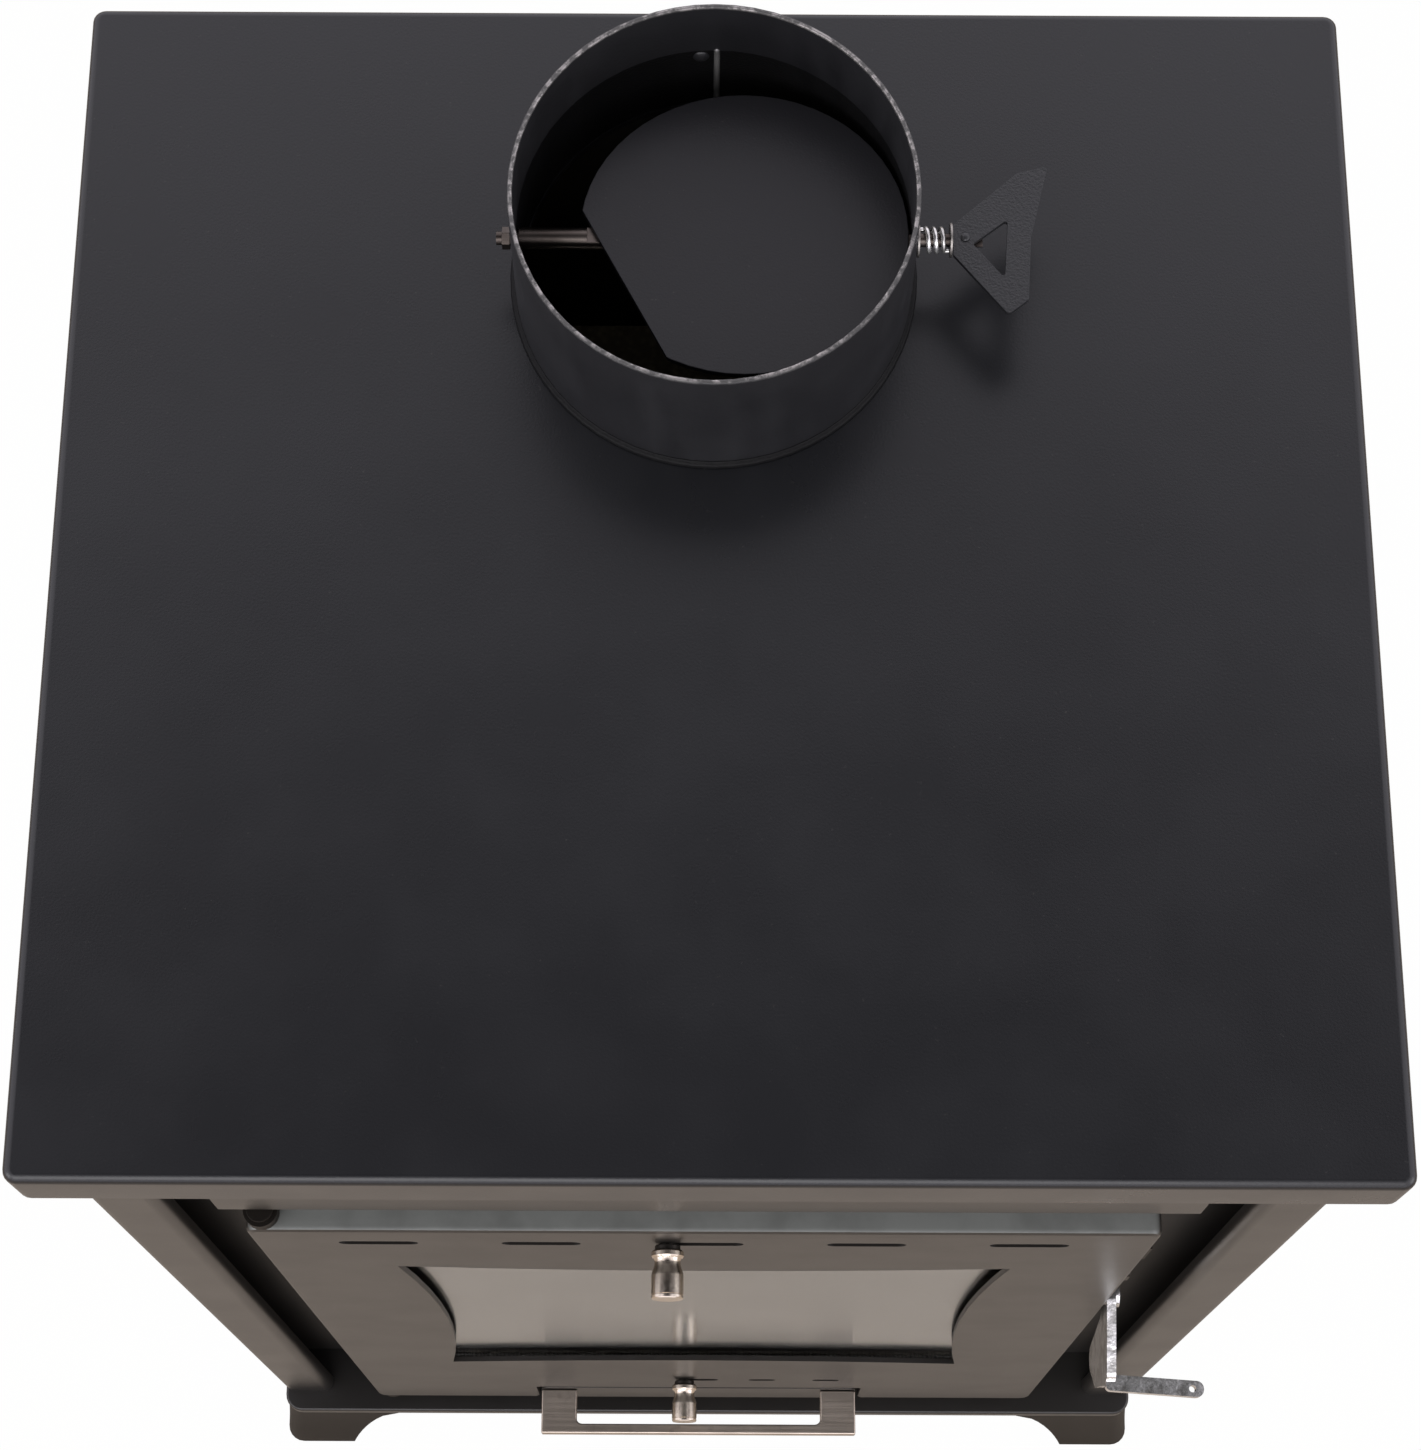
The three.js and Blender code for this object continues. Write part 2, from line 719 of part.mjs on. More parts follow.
function doorOutline(inset) {
  const notchCorner = 2.5;
  const corner = doorCorner - inset;
  return polygon([
    [doorLeft + inset, doorFoot + inset], [notchLeft - inset, doorFoot + inset],
    [notchLeft - inset, notchTop + inset], [notchRight + inset, notchTop + inset],
    [notchRight + inset, doorFoot + inset], [doorRight - inset, doorFoot + inset],
    [doorRight - inset, doorHead - inset], [doorLeft + inset, doorHead - inset],
  ], [corner, notchCorner, notchCorner, notchCorner, notchCorner, corner, corner, corner]);
}

// Each side of the window is a shallow arc that bows into the opening.
function waistedWindow() {
  const corners = points2(
    [doorCentreX - windowWidth / 2, doorFoot + windowLift],
    [doorCentreX + windowWidth / 2, doorFoot + windowLift],
    [doorCentreX + windowWidth / 2, doorFoot + windowLift + windowHeight],
    [doorCentreX - windowWidth / 2, doorFoot + windowLift + windowHeight],
  );
  const centre = new THREE.Vector2(doorCentreX, doorFoot + windowLift + windowHeight / 2);
  const steps = 8;
  const outline = [];
  corners.forEach((from, i) => {
    const to = corners[(i + 1) % 4];
    const middle = from.clone().add(to).multiplyScalar(0.5);
    const inward = centre.clone().sub(middle).normalize();
    for (let k = 0; k < steps; k++) {
      const share = k / steps;
      const bow = windowWaist * 4 * share * (1 - share);
      outline.push(from.clone().lerp(to, share).addScaledVector(inward, bow));
    }
  });
  return new THREE.Shape(outline);
}

function slotShape(x, z, length, height) {
  return rectangle(x - length / 2, x + length / 2, z - height / 2, z + height / 2, height / 2 - 0.05, 3);
}

const upperSlotX = Array.from({ length: slotCount }, (_, i) =>
  doorCentreX + (i - (slotCount - 1) / 2) * slotPitch);
const lowerStemSlotLength = lowerTravel + 2 * (stemRadius + stemClearance);
const lowerSlotX = [1, 2].map((i) => doorCentreX + lowerShift + i * lowerPitch);

function doorShell() {
  const outer = new THREE.ExtrudeGeometry(doorOutline(0), {
    depth: doorDepth, bevelEnabled: true, bevelSize: doorBend, bevelThickness: doorBend,
    bevelOffset: -doorBend, bevelSegments: 2, curveSegments: 6,
  }).rotateX(Math.PI / 2).translate(0, doorBackFace + doorBend, 0);
  const behind = box(doorLeft - 5, doorRight + 5, doorBackFace, doorBackFace + 20,
    doorFoot - 5, doorHead + 5);
  const hollow = alongY(doorOutline(sheet), doorFace + sheet, doorBackFace + 20);
  const through = (shape) => alongY(shape, doorFace - 2, doorFace + sheet + 2);
  const slots = upperSlotX.map((x) => through(slotShape(x, upperRowZ, slotLength, slotHeight)));
  slots.push(through(slotShape(doorCentreX - stemSlotReach, upperRowZ, slotLength, slotHeight)));
  slots.push(through(slotShape(doorCentreX + lowerShift, lowerRowZ, lowerStemSlotLength,
    lowerSlotHeight + 1)));
  for (const x of lowerSlotX) {
    slots.push(through(slotShape(x, lowerRowZ, lowerSlotLength, lowerSlotHeight)));
  }
  const pinHoles = [
    rodZ(panHinge, doorHead - 10, doorHead + 5, hingeX, hingeY, 20),
    rodZ(panHinge, doorFoot - 5, doorFoot + 10, hingeX, hingeY, 20),
  ];
  const latchHole = rodX(4.1, doorRight - 10, doorRight + 5, latchY, latchZ, 20);
  return cut(outer, behind, hollow, through(waistedWindow()), ...slots, ...pinHoles, latchHole);
}

add('door_shell', doorShell(), blackPaint);

// ---------- glazing: seal, glass and the frame that holds them ----------

const glassX = windowWidth / 2 + glassLap;
const glassFoot = doorFoot + windowLift - glassLap;
const glassHead = doorFoot + windowLift + windowHeight + glassLap;
const glassFace = doorFace + glassDepth;
const glassBack = glassFace + glassThickness;

function glassSeal() {
  const width = 8;
  const shape = rectangle(doorCentreX - glassX, doorCentreX + glassX, glassFoot, glassHead, 2);
  shape.holes.push(rectangle(doorCentreX - glassX + width, doorCentreX + glassX - width,
    glassFoot + width, glassHead - width, 1));
  return alongY(shape, doorFace + sheet + seat, glassFace - seat);
}

add('glass_seal', glassSeal(), rope);
add('door_glass', alongY(rectangle(doorCentreX - glassX, doorCentreX + glassX, glassFoot, glassHead, 2),
  glassFace, glassBack), fireGlass);

// One pressed frame laps the edge of the glass all round and is held to the face by its outer flange.
function glassFrame() {
  const inner = doorFace + sheet + seat;
  const frameSheet = 1.6;
  const frameFlange = 10;
  const lap = 7;
  const outline = (out, corner) => rectangle(doorCentreX - glassX - out, doorCentreX + glassX + out,
    glassFoot - out, glassHead + out, corner);
  const ring = (inside, outside, y0, y1) => {
    const shape = outline(outside, 4);
    shape.holes.push(outline(inside, 2));
    return alongY(shape, y0, y1);
  };
  return join(
    ring(seat, frameFlange, inner, inner + frameSheet),
    ring(seat, seat + frameSheet, inner, glassBack + seat + frameSheet),
    ring(-lap, seat + frameSheet, glassBack + seat, glassBack + seat + frameSheet),
  );
}

add('glass_frame', glassFrame(), bareSteel);

// ---------- door rope and the channel that holds it ----------

const channelSheet = 1.8;
const channelWidth = 2 * (ropeRadius + channelSheet + 0.4);
const channelFloor = fireboxFront - seat - 2 * ropeRadius - channelSheet - 0.2;
const channelOuter = [doorLeft + sheet + seat, doorRight - sheet - seat,
  notchTop + sheet + seat, doorHead - sheet - seat];

function channelRing(inset, y0, y1, width) {
  const [x0, x1, z0, z1] = channelOuter;
  const shape = rectangle(x0 + inset, x1 - inset, z0 + inset, z1 - inset, 4);
  const inner = inset + width;
  shape.holes.push(rectangle(x0 + inner, x1 - inner, z0 + inner, z1 - inner, 3));
  return alongY(shape, y0, y1);
}

function ropeChannel() {
  const lip = doorBackFace - 1;
  return join(
    channelRing(0, channelFloor, channelFloor + channelSheet, channelWidth),
    channelRing(0, channelFloor, lip, channelSheet),
    channelRing(channelWidth - channelSheet, channelFloor, lip, channelSheet),
  );
}

add('rope_channel', ropeChannel(), recessPaint);

function doorRope() {
  const inset = channelWidth / 2;
  const [x0, x1, z0, z1] = channelOuter;
  const corner = ropeRadius + 2.2;
  const path = rounded(points2([x0 + inset, z0 + inset], [x1 - inset, z0 + inset],
    [x1 - inset, z1 - inset], [x0 + inset, z1 - inset]), corner, true, 5);
  const y = fireboxFront - seat - ropeRadius;
  return tube(path.map((p) => new THREE.Vector3(p.x, y, p.y)), ropeRadius - 0.05, 10, true);
}

add('door_rope', doorRope(), rope);

// ---------- hinge: brackets on the firebox front, pins through them, bushes on the door ----------

const bracketThickness = 4;
const bushHeight = 3;

function hingeBracket(z0) {
  const y1 = fireboxFront - seat;
  const arm = new THREE.Shape();
  arm.moveTo(hingeX + hingeBoss, y1);
  arm.lineTo(hingeX + hingeBoss, hingeY);
  arm.absarc(hingeX, hingeY, hingeBoss, 0, -Math.PI, true);
  arm.lineTo(hingeX - hingeBoss, y1);
  const tab = box(hingeX - hingeBoss - 4, hingeX + hingeBoss + 4, y1 - 3, y1,
    z0 - (z0 > plateTop / 2 ? 0 : 12), z0 + bracketThickness + (z0 > plateTop / 2 ? 12 : 0));
  return cut(join(alongZ(arm, z0, z0 + bracketThickness, 12), tab),
    rodZ(panHinge, z0 - 5, z0 + bracketThickness + 5, hingeX, hingeY, 20));
}

const topBracketZ = doorHead + bushHeight + 2 * seat;
const lowBracketZ = doorFoot - bushHeight - 2 * seat - bracketThickness;
add('hinge_bracket_top', hingeBracket(topBracketZ), recessPaint);
add('hinge_bracket_bottom', hingeBracket(lowBracketZ), recessPaint);

function hingePin(z0, z1, headZ) {
  const head = rodZ(hingePinRadius + 1.6, headZ, headZ + 2, hingeX, hingeY, 20);
  return join(rodZ(hingePinRadius, z0, z1, hingeX, hingeY, 20), head);
}

const pinBite = 12;
add('hinge_pin_top', hingePin(doorHead - pinBite, topBracketZ + bracketThickness + seat + 2,
  topBracketZ + bracketThickness + seat), bareSteel);
add('hinge_pin_bottom', hingePin(lowBracketZ - seat - 2, doorFoot + pinBite, lowBracketZ - seat - 2), bareSteel);

function hingeBush(z0) {
  return cut(rodZ(hingeBoss, z0, z0 + bushHeight, hingeX, hingeY, 24),
    rodZ(panHinge, z0 - 1, z0 + bushHeight + 1, hingeX, hingeY, 20));
}

add('hinge_bush_top', hingeBush(doorHead + seat), recessPaint);
add('hinge_bush_bottom', hingeBush(doorFoot - seat - bushHeight), recessPaint);

// ---------- air sliders: a slotted shutter behind the door face and a turned knob on a stem ----------

const shutterFace = doorFace + sheet + seat;
const shutterBack = shutterFace + shutterThickness;

const shutterMargin = 6;
const upperStemX = doorCentreX - slotLength / 2 - stemSlotReach + stemRadius + stemClearance;
const lowerStemX = doorCentreX + lowerShift - lowerStemSlotLength / 2 + stemRadius + stemClearance;

// Its openings lie one travel short of the door's slots, so it is shut until it is slid across.
function shutter(slotsX, stemX, z, openingLength, openingHeight, travel) {
  const openings = slotsX.map((x) => x - travel);
  const reach = openingLength / 2 + shutterMargin;
  const shape = rectangle(Math.min(...openings, stemX) - reach, Math.max(...openings, stemX) + reach,
    z - shutterHeight / 2, z + shutterHeight / 2, 3);
  for (const x of openings) shape.holes.push(slotShape(x, z, openingLength, openingHeight));
  shape.holes.push(circle(stemX, z, stemRadius + 0.2));
  return alongY(shape, shutterFace, shutterBack);
}

const besideMiddle = upperSlotX.filter((x) => Math.abs(x - doorCentreX) > 1);
add('upper_shutter', shutter(besideMiddle, upperStemX, upperRowZ, slotLength - 11, slotHeight + 2, sliderTravel),
  recessPaint);
add('lower_shutter', shutter(lowerSlotX, lowerStemX, lowerRowZ, lowerSlotLength - 2, lowerSlotHeight + 2,
  lowerTravel), recessPaint);

// A guide frame keeps each shutter against the face: Z-section rails joined by a bridge at each end.
function shutterGuide(holesX, margin, z) {
  const x0 = Math.min(...holesX) - margin;
  const x1 = Math.max(...holesX) + margin;
  const wall = 1.5;
  const reach = shutterHeight / 2 + 0.6;
  const cover = shutterBack + 0.5;
  const pieces = [];
  for (const hand of [-1, 1]) {
    const rail = polygon([
      [shutterFace, reach + 8], [shutterFace + wall, reach + 8], [shutterFace + wall, reach + wall],
      [cover + wall, reach + wall], [cover + wall, reach - 5], [cover, reach - 5], [cover, reach],
      [shutterFace, reach],
    ].map(([y, offset]) => [y, z + hand * offset]));
    pieces.push(alongX(rail, x0, x1));
  }
  for (const x of [x0, x1 - 8]) pieces.push(box(x, x + 8, cover, cover + wall, z - reach, z + reach));
  return join(...pieces);
}

add('upper_guide', shutterGuide(upperSlotX, 7.5, upperRowZ), recessPaint);
add('lower_guide', shutterGuide([lowerStemX, ...lowerSlotX], 18, lowerRowZ), recessPaint);

// Turned knob: nut, flange ring, waisted neck and a plain barrel with an eased end.
function airKnob(x, z) {
  const profile = points2(
    [0, -(sheet + seat + shutterThickness + 2)], [stemRadius, -(sheet + seat + shutterThickness + 2)],
    [stemRadius, 0.6], [5, 0.6], [5, 2.6], [knobRadius - 0.4, 2.8], [knobRadius, 3.3], [knobRadius, 4.9],
    [knobRadius - 0.5, 5.5], [5, 7.2], [4.9, 8.4], [5.4, 9.8], [knobRadius - 0.3, 11], [knobRadius, 11.6],
    [knobRadius, knobLength - 1], [knobRadius - 0.9, knobLength], [0, knobLength],
  );
  return new THREE.LatheGeometry(profile, 20)
    .rotateX(Math.PI)
    .translate(x, doorFace, z);
}

add('upper_knob', airKnob(upperStemX, upperRowZ), nickel);
add('lower_knob', airKnob(lowerStemX, lowerRowZ), nickel);

// ---------- ash drawer: tray, front and the flat U handle ----------

const trayFloorZ = doorFoot - 1;
const trayWall = 1.5;
const trayHalf = drawerWidth / 2 - 4;
const trayFront = doorFace + sheet + seat;

function ashTray() {
  const height = drawerHeight - 4;
  const outer = box(drawerX - trayHalf, drawerX + trayHalf, trayFront, trayFront + drawerLength,
    trayFloorZ, trayFloorZ + height);
  const inner = box(drawerX - trayHalf + trayWall, drawerX + trayHalf - trayWall, trayFront + trayWall,
    trayFront + drawerLength - trayWall, trayFloorZ + trayWall, trayFloorZ + height + 5);
  const rim = cut(
    box(drawerX - trayHalf - 2, drawerX + trayHalf + 2, trayFront + 40, trayFront + drawerLength - 6,
      trayFloorZ + height - trayWall, trayFloorZ + height),
    box(drawerX - trayHalf + 0.5, drawerX + trayHalf - 0.5, trayFront, trayFront + drawerLength,
      trayFloorZ + height - 5, trayFloorZ + height + 5),
  );
  return join(cut(outer, inner), rim);
}

add('ash_tray', ashTray(), bareSteel);

function ashFront() {
  const left = drawerX - drawerWidth / 2;
  const right = drawerX + drawerWidth / 2;
  const shape = polygon([[left, doorFoot], [right, doorFoot], [right, drawerTop], [left, drawerTop]],
    [1.5, 1.5, drawerCorner, drawerCorner]);
  return alongY(shape, doorFace, doorFace + sheet);
}

add('ash_front', ashFront(), blackPaint);

function ashHandle() {
  const half = drawerWidth / 2;
  const root = doorFace - seat;
  const tip = doorFace - handleReach;
  const fillet = 3;
  const shape = polygon([
    [drawerX - half, root], [drawerX - half, tip], [drawerX + half, tip], [drawerX + half, root],
    [drawerX + half - handleLeg, root], [drawerX + half - handleLeg, tip + handleBar],
    [drawerX - half + handleLeg, tip + handleBar], [drawerX - half + handleLeg, root],
  ], [0, 0.8, 0.8, 0, 0, fillet, fillet, 0]);
  const top = drawerTop - handleDrop;
  return alongZ(shape, top - handleThickness, top);
}

add('ash_handle', ashHandle(), nickel);

// Each runner is an angle with an upstand that guides the tray's side.
function drawerRunner(hand) {
  const x = (offset) => hand * offset;
  const side = trayHalf + 3.2;
  const top = trayFloorZ - seat;
  const wall = 2;
  const outline = [
    [side - 18, top - wall], [side, top - wall], [side, casingFloor], [side + wall, casingFloor],
    [side + wall, top + 8], [side, top + 8], [side, top], [side - 18, top],
  ];
  const shape = polygon(outline.map(([a, b]) => [drawerX + x(a), b]));
  return alongY(shape, fireboxFace + 1, fireboxFace + 1 + drawerLength - 20);
}

add('drawer_runner_left', drawerRunner(-1), bareSteel);
add('drawer_runner_right', drawerRunner(1), bareSteel);

// ---------- latch: lever with a hooked tail, pivot pin on the door, keeper on the firebox front ----------

const keeperBack = 11;         // keeper pin behind the lever pivot
const keeperRise = 3;          // and above it
const keeperRadius = 2.5;
const lockAngle = THREE.MathUtils.degToRad(latchLockAngle);

// Lever outline in (y, z) from its pivot, as it stands when released. The hooked tail is drawn as it
// stands when locked, and turned back.
function leverPlate() {
  const front = [[4, 13], [-4, 13], [-37, 3], [-39.5, -6], [-36, -42], [-25, -60], [-17, -57], [-8, -10]];
  const frontRadii = [3, 3, 4, 4, 14, 5, 5, 6];
  const claw = keeperBack + keeperRadius + 0.7;
  const tail = [
    [2, -8.5], [12, -8.5], [claw + 4, -6], [claw + 4, keeperRise + 1.2], [claw, keeperRise + 1.2],
  ];
  const tailRadii = [3, 6, 3, 1.5, 1];
  const cosine = Math.cos(lockAngle);
  const sine = Math.sin(lockAngle);
  const turned = tail.map(([y, z]) => [y * cosine + z * sine, z * cosine - y * sine]);
  const throat = [[claw - 3, -6.5], [7, -4], [7, 7]];
  return alongX(polygon([...front, ...turned, ...throat], [...frontRadii, ...tailRadii, 0, 1, 4], 3),
    latchX, latchX + latchPlate);
}

// The mouth closes round the keeper pin when the lever is turned by the lock angle.
function leverMouth() {
  const half = keeperRadius + 0.7;
  const shape = rectangle(keeperBack - half, keeperBack + half, keeperRise - keeperRadius - 0.5,
    keeperRise + 12, 1.2);
  return alongX(shape, latchX - 5, latchX + latchPlate + 5).rotateX(-lockAngle);
}

function leverGrip() {
  const x0 = latchX + 0.01;
  const x1 = latchX + latchReach;
  const rootFront = gripSlope - gripFront;
  const bar = polygon([[x0, rootFront + gripDepth], [x0, rootFront], [x1, -gripFront], [x1, -gripFront + gripDepth]],
    [0, 2, 3.2, 3.2], 4);
  const hole = rodZ(1.6, -10, 10, x1 - 5, -gripFront + gripDepth / 2 + 0.3, 12);
  return cut(alongZ(bar, -gripThickness - 1.5, -1.5), hole);
}

function latchLever() {
  const plate = cut(leverPlate(), leverMouth(), rodX(4.1, latchX - 5, latchX + 10, 0, 0, 20));
  return join(plate, leverGrip()).translate(0, latchY, latchZ);
}

add('latch_lever', latchLever(), chrome);

function latchPin() {
  return join(
    rodX(3.7, doorRight - 7, latchX + latchPlate + 1, latchY, latchZ, 20),
    rodX(6, latchX + latchPlate + seat, latchX + latchPlate + seat + 2.4, latchY, latchZ, 20),
    rodX(5, doorRight + seat, latchX - seat, latchY, latchZ, 20),
    rodX(5.4, doorRight - 7, doorRight - sheet - seat, latchY, latchZ, 6),
  );
}

add('latch_pin', latchPin(), chrome);

function latchKeeper() {
  const x0 = latchX + latchPlate + 4;
  const wall = 3;
  const y1 = fireboxFront - seat;
  const y = latchY + keeperBack;
  const z = latchZ + keeperRise;
  const side = polygon([[y - 5, z - 6], [y1, z - 12], [y1, z + 16], [y - 5, z + 7]], [3, 0, 0, 3], 3);
  const foot = box(x0, x0 + 12, y1 - wall, y1, z - 12, z + 16);
  return join(alongX(side, x0, x0 + wall), foot, rodX(keeperRadius, latchX - 0.4, x0 + 1, y, z, 16));
}

add('latch_keeper', latchKeeper(), chrome);

// ---------- flue damper: axle, plate, coil spring and kite handle ----------

const collarOutside = collarRadiusAt(axleHeight);
const washer = 0.8;
const springStart = collarOutside + 0.2 + washer + seat;
const springLength = 10.5;
const springEnd = springStart + springLength;
const kiteStart = springEnd + seat + washer + seat;
const tilt = THREE.MathUtils.degToRad(damperTilt);

function damperAxle() {
  const inside = collarOutside - collarWall - 0.9;
  const shaft = join(
    rodX(axleRadius, -inside, inside, 0, 0, 20),
    rodX(journalRadius, -collarOutside - 5.5, kiteStart + 11, 0, 0, 16),
  );
  const flat = box(damperShift - damperRadius + 2.6, inside + 2, -10, 10, axleRadius - 1.6, 10).rotateX(-tilt);
  const tongue = box(kiteStart - 0.4, kiteStart + 20, -10, 10, 0, 10);
  const rivetHole = rodZ(1.3, -10, 10, kiteStart + 4.5, 0, 12);
  return cut(shaft, flat, tongue, rivetHole).translate(0, collarY, axleZ);
}

add('damper_axle', damperAxle(), bareSteel);

// A round plate, set to one side, with one straight edge that leaves a way for the smoke.
function damperPlate() {
  const disc = rodZ(damperRadius, 0, damperThickness, damperShift, 0, 56);
  const chordStart = new THREE.Vector2(-48.3, 9);
  const chordEnd = new THREE.Vector2(-14.5, -57.5);
  const along = chordEnd.clone().sub(chordStart).normalize();
  const outward = new THREE.Vector2(along.y, -along.x);
  const reach = 60;
  const before = chordStart.clone().addScaledVector(along, -reach);
  const after = chordEnd.clone().addScaledVector(along, reach);
  const offcut = new THREE.Shape([before, after, after.clone().addScaledVector(outward, reach),
    before.clone().addScaledVector(outward, reach)]);
  return cut(disc, alongZ(offcut, -5, 10))
    .translate(0, 0, axleRadius - 1.6 + seat)
    .rotateX(-tilt)
    .translate(0, collarY, axleZ);
}

add('damper_disc', damperPlate(), blackPaint);

function springWasher(x) {
  return cut(rodX(6.4, x, x + washer, collarY, axleZ, 20),
    rodX(journalRadius + 0.3, x - 1, x + washer + 1, collarY, axleZ, 16));
}

add('inner_washer', springWasher(springStart - seat - washer), bareSteel);
add('outer_washer', springWasher(springEnd + seat), bareSteel);

// The wire leaves one washer straight, winds round the axle and meets the other washer straight.
function damperSpring() {
  const stepsPerTurn = 8;
  const lead = 2 * springWire;
  const wound = springLength - 2 * lead;
  const count = springTurns * stepsPerTurn;
  const path = [new THREE.Vector3(springStart, springRadius, 0)];
  for (let k = 0; k <= count; k++) {
    const angle = 2 * Math.PI * k / stepsPerTurn;
    path.push(new THREE.Vector3(springStart + lead + wound * k / count,
      springRadius * Math.cos(angle), springRadius * Math.sin(angle)));
  }
  const last = path[path.length - 1];
  path.push(new THREE.Vector3(springEnd, last.y, last.z));
  let gap = Infinity;
  for (let i = 1; i < path.length - 1; i++) {
    for (let j = i + stepsPerTurn - 2; j < path.length - 1; j++) {
      gap = Math.min(gap, path[i].distanceTo(path[j]) - 2 * springWire);
    }
  }
  console.log(`least gap of the spring to itself: ${gap.toFixed(2)} mm`);
  return tube(path, springWire, 5, false).translate(0, collarY, axleZ);
}

add('damper_spring', damperSpring(), chrome);

function damperHandle() {
  const narrow = kiteStart;
  const outline = [
    [narrow, -7], [narrow + 19.5, -31], [narrow + 27, -25], [narrow + 28.5, 0],
    [narrow + 35.5, 29.5], [narrow + 24, 26.5], [narrow, 5],
  ];
  const shape = polygon(outline, [1, 1.5, 1.5, 3, 1, 1, 1], 3);
  const triangle = [[narrow + 7.2, -2.6], [narrow + 20.2, 7.6], [narrow + 18.6, -16.6]];
  shape.holes.push(polygon(triangle, 0.8, 3));
  shape.holes.push(circle(narrow + 4.5, 0, 1.5, 12));
  return alongZ(shape, seat, seat + kiteThickness).translate(0, collarY, axleZ);
}

add('damper_handle', damperHandle(), blackPaint);

function handleRivet() {
  const x = kiteStart + 4.5;
  const foot = seat + kiteThickness + 0.2;
  const profile = points2([0, -2.4], [1.1, -2.4], [1.1, foot], [1.8, foot], [1.6, foot + 0.5],
    [0.9, foot + 0.8], [0, foot + 0.9]);
  return new THREE.LatheGeometry(profile, 16).rotateX(Math.PI / 2).translate(x, collarY, axleZ);
}

add('handle_rivet', handleRivet(), bareSteel);

function damperNut() {
  const x1 = -collarOutside - 0.4;
  return cut(rodX(4.2, x1 - 3, x1, collarY, axleZ, 6),
    rodX(journalRadius + 0.25, x1 - 6, x1 + 2, collarY, axleZ, 16));
}

add('damper_nut', damperNut(), bareSteel);

export default stove;
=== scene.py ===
# Sheet-steel wood stove: the looks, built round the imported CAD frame. Metres, +Z up, door to -Y.
import math

import bpy
from mathutils import Matrix, Vector


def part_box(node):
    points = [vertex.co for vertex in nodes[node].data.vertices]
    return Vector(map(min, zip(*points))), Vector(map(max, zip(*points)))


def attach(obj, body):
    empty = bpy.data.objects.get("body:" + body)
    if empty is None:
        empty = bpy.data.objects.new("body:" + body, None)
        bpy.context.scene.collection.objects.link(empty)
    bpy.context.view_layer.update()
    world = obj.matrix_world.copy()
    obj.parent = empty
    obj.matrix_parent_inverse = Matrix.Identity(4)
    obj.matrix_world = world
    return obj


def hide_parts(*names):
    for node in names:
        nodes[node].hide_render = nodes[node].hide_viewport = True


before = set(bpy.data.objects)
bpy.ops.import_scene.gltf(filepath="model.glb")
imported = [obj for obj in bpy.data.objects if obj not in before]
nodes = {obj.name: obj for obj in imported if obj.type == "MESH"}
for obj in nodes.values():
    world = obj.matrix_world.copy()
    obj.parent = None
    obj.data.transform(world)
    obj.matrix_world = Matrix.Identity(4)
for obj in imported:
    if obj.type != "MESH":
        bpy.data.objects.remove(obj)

for name in ("Cube", "Light", "Camera"):
    if name in bpy.data.objects:
        bpy.data.objects.remove(bpy.data.objects[name])
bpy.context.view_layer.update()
bpy.ops.object.select_all(action="DESELECT")


# ---------- Casing: top plate, side and back panels, header, plinth ----------
# Folded sheet steel under sprayed heat-proof paint: charcoal, satin, faintly cloudy, with the fine
# pebble of dried spray and a little settled dust. The sheets are welded from inside.

def new_material(name):
    """An empty node material with its shader already joined to the output."""
    material = bpy.data.materials.new(name)
    material.use_nodes = True
    tree = material.node_tree
    tree.nodes.clear()
    output = tree.nodes.new("ShaderNodeOutputMaterial")
    shader = tree.nodes.new("ShaderNodeBsdfPrincipled")
    tree.links.new(shader.outputs["BSDF"], output.inputs["Surface"])
    return material, tree, shader


def object_coordinates(tree, scale=(1, 1, 1), turn=(0, 0, 0), shift=(0, 0, 0)):
    """The piece's own coordinates in metres, stretched, turned and centred for one pattern."""
    source = tree.nodes.new("ShaderNodeTexCoord")
    mapping = tree.nodes.new("ShaderNodeMapping")
    mapping.inputs["Location"].default_value = shift
    mapping.inputs["Rotation"].default_value = turn
    mapping.inputs["Scale"].default_value = scale
    tree.links.new(source.outputs["Object"], mapping.inputs["Vector"])
    return mapping.outputs["Vector"]


def along_axis(tree, axis):
    """One of the three object coordinates, in metres."""
    parts = tree.nodes.new("ShaderNodeSeparateXYZ")
    tree.links.new(object_coordinates(tree), parts.inputs[0])
    return parts.outputs[axis]


def speckle(tree, vector, scale, detail=3.0, roughness=0.5):
    """Noise of that many cells to the metre, as a value from 0 to 1."""
    noise = tree.nodes.new("ShaderNodeTexNoise")
    noise.inputs["Scale"].default_value = scale
    noise.inputs["Detail"].default_value = detail
    noise.inputs["Roughness"].default_value = roughness
    tree.links.new(vector, noise.inputs["Vector"])
    return noise.outputs["Fac"]


def between(tree, value, low, high, out_low=0.0, out_high=1.0):
    """Maps low..high of a value to out_low..out_high, and holds it there outside."""
    ranged = tree.nodes.new("ShaderNodeMapRange")
    ranged.interpolation_type = "SMOOTHSTEP"
    tree.links.new(value, ranged.inputs["Value"])
    limits = (("From Min", low), ("From Max", high), ("To Min", out_low), ("To Max", out_high))
    for key, number in limits:
        ranged.inputs[key].default_value = number
    return ranged.outputs["Result"]


def both(tree, first, second, operation="MULTIPLY"):
    """Two masks joined into one."""
    joined = tree.nodes.new("ShaderNodeMath")
    joined.operation = operation
    tree.links.new(first, joined.inputs[0])
    tree.links.new(second, joined.inputs[1])
    return joined.outputs[0]


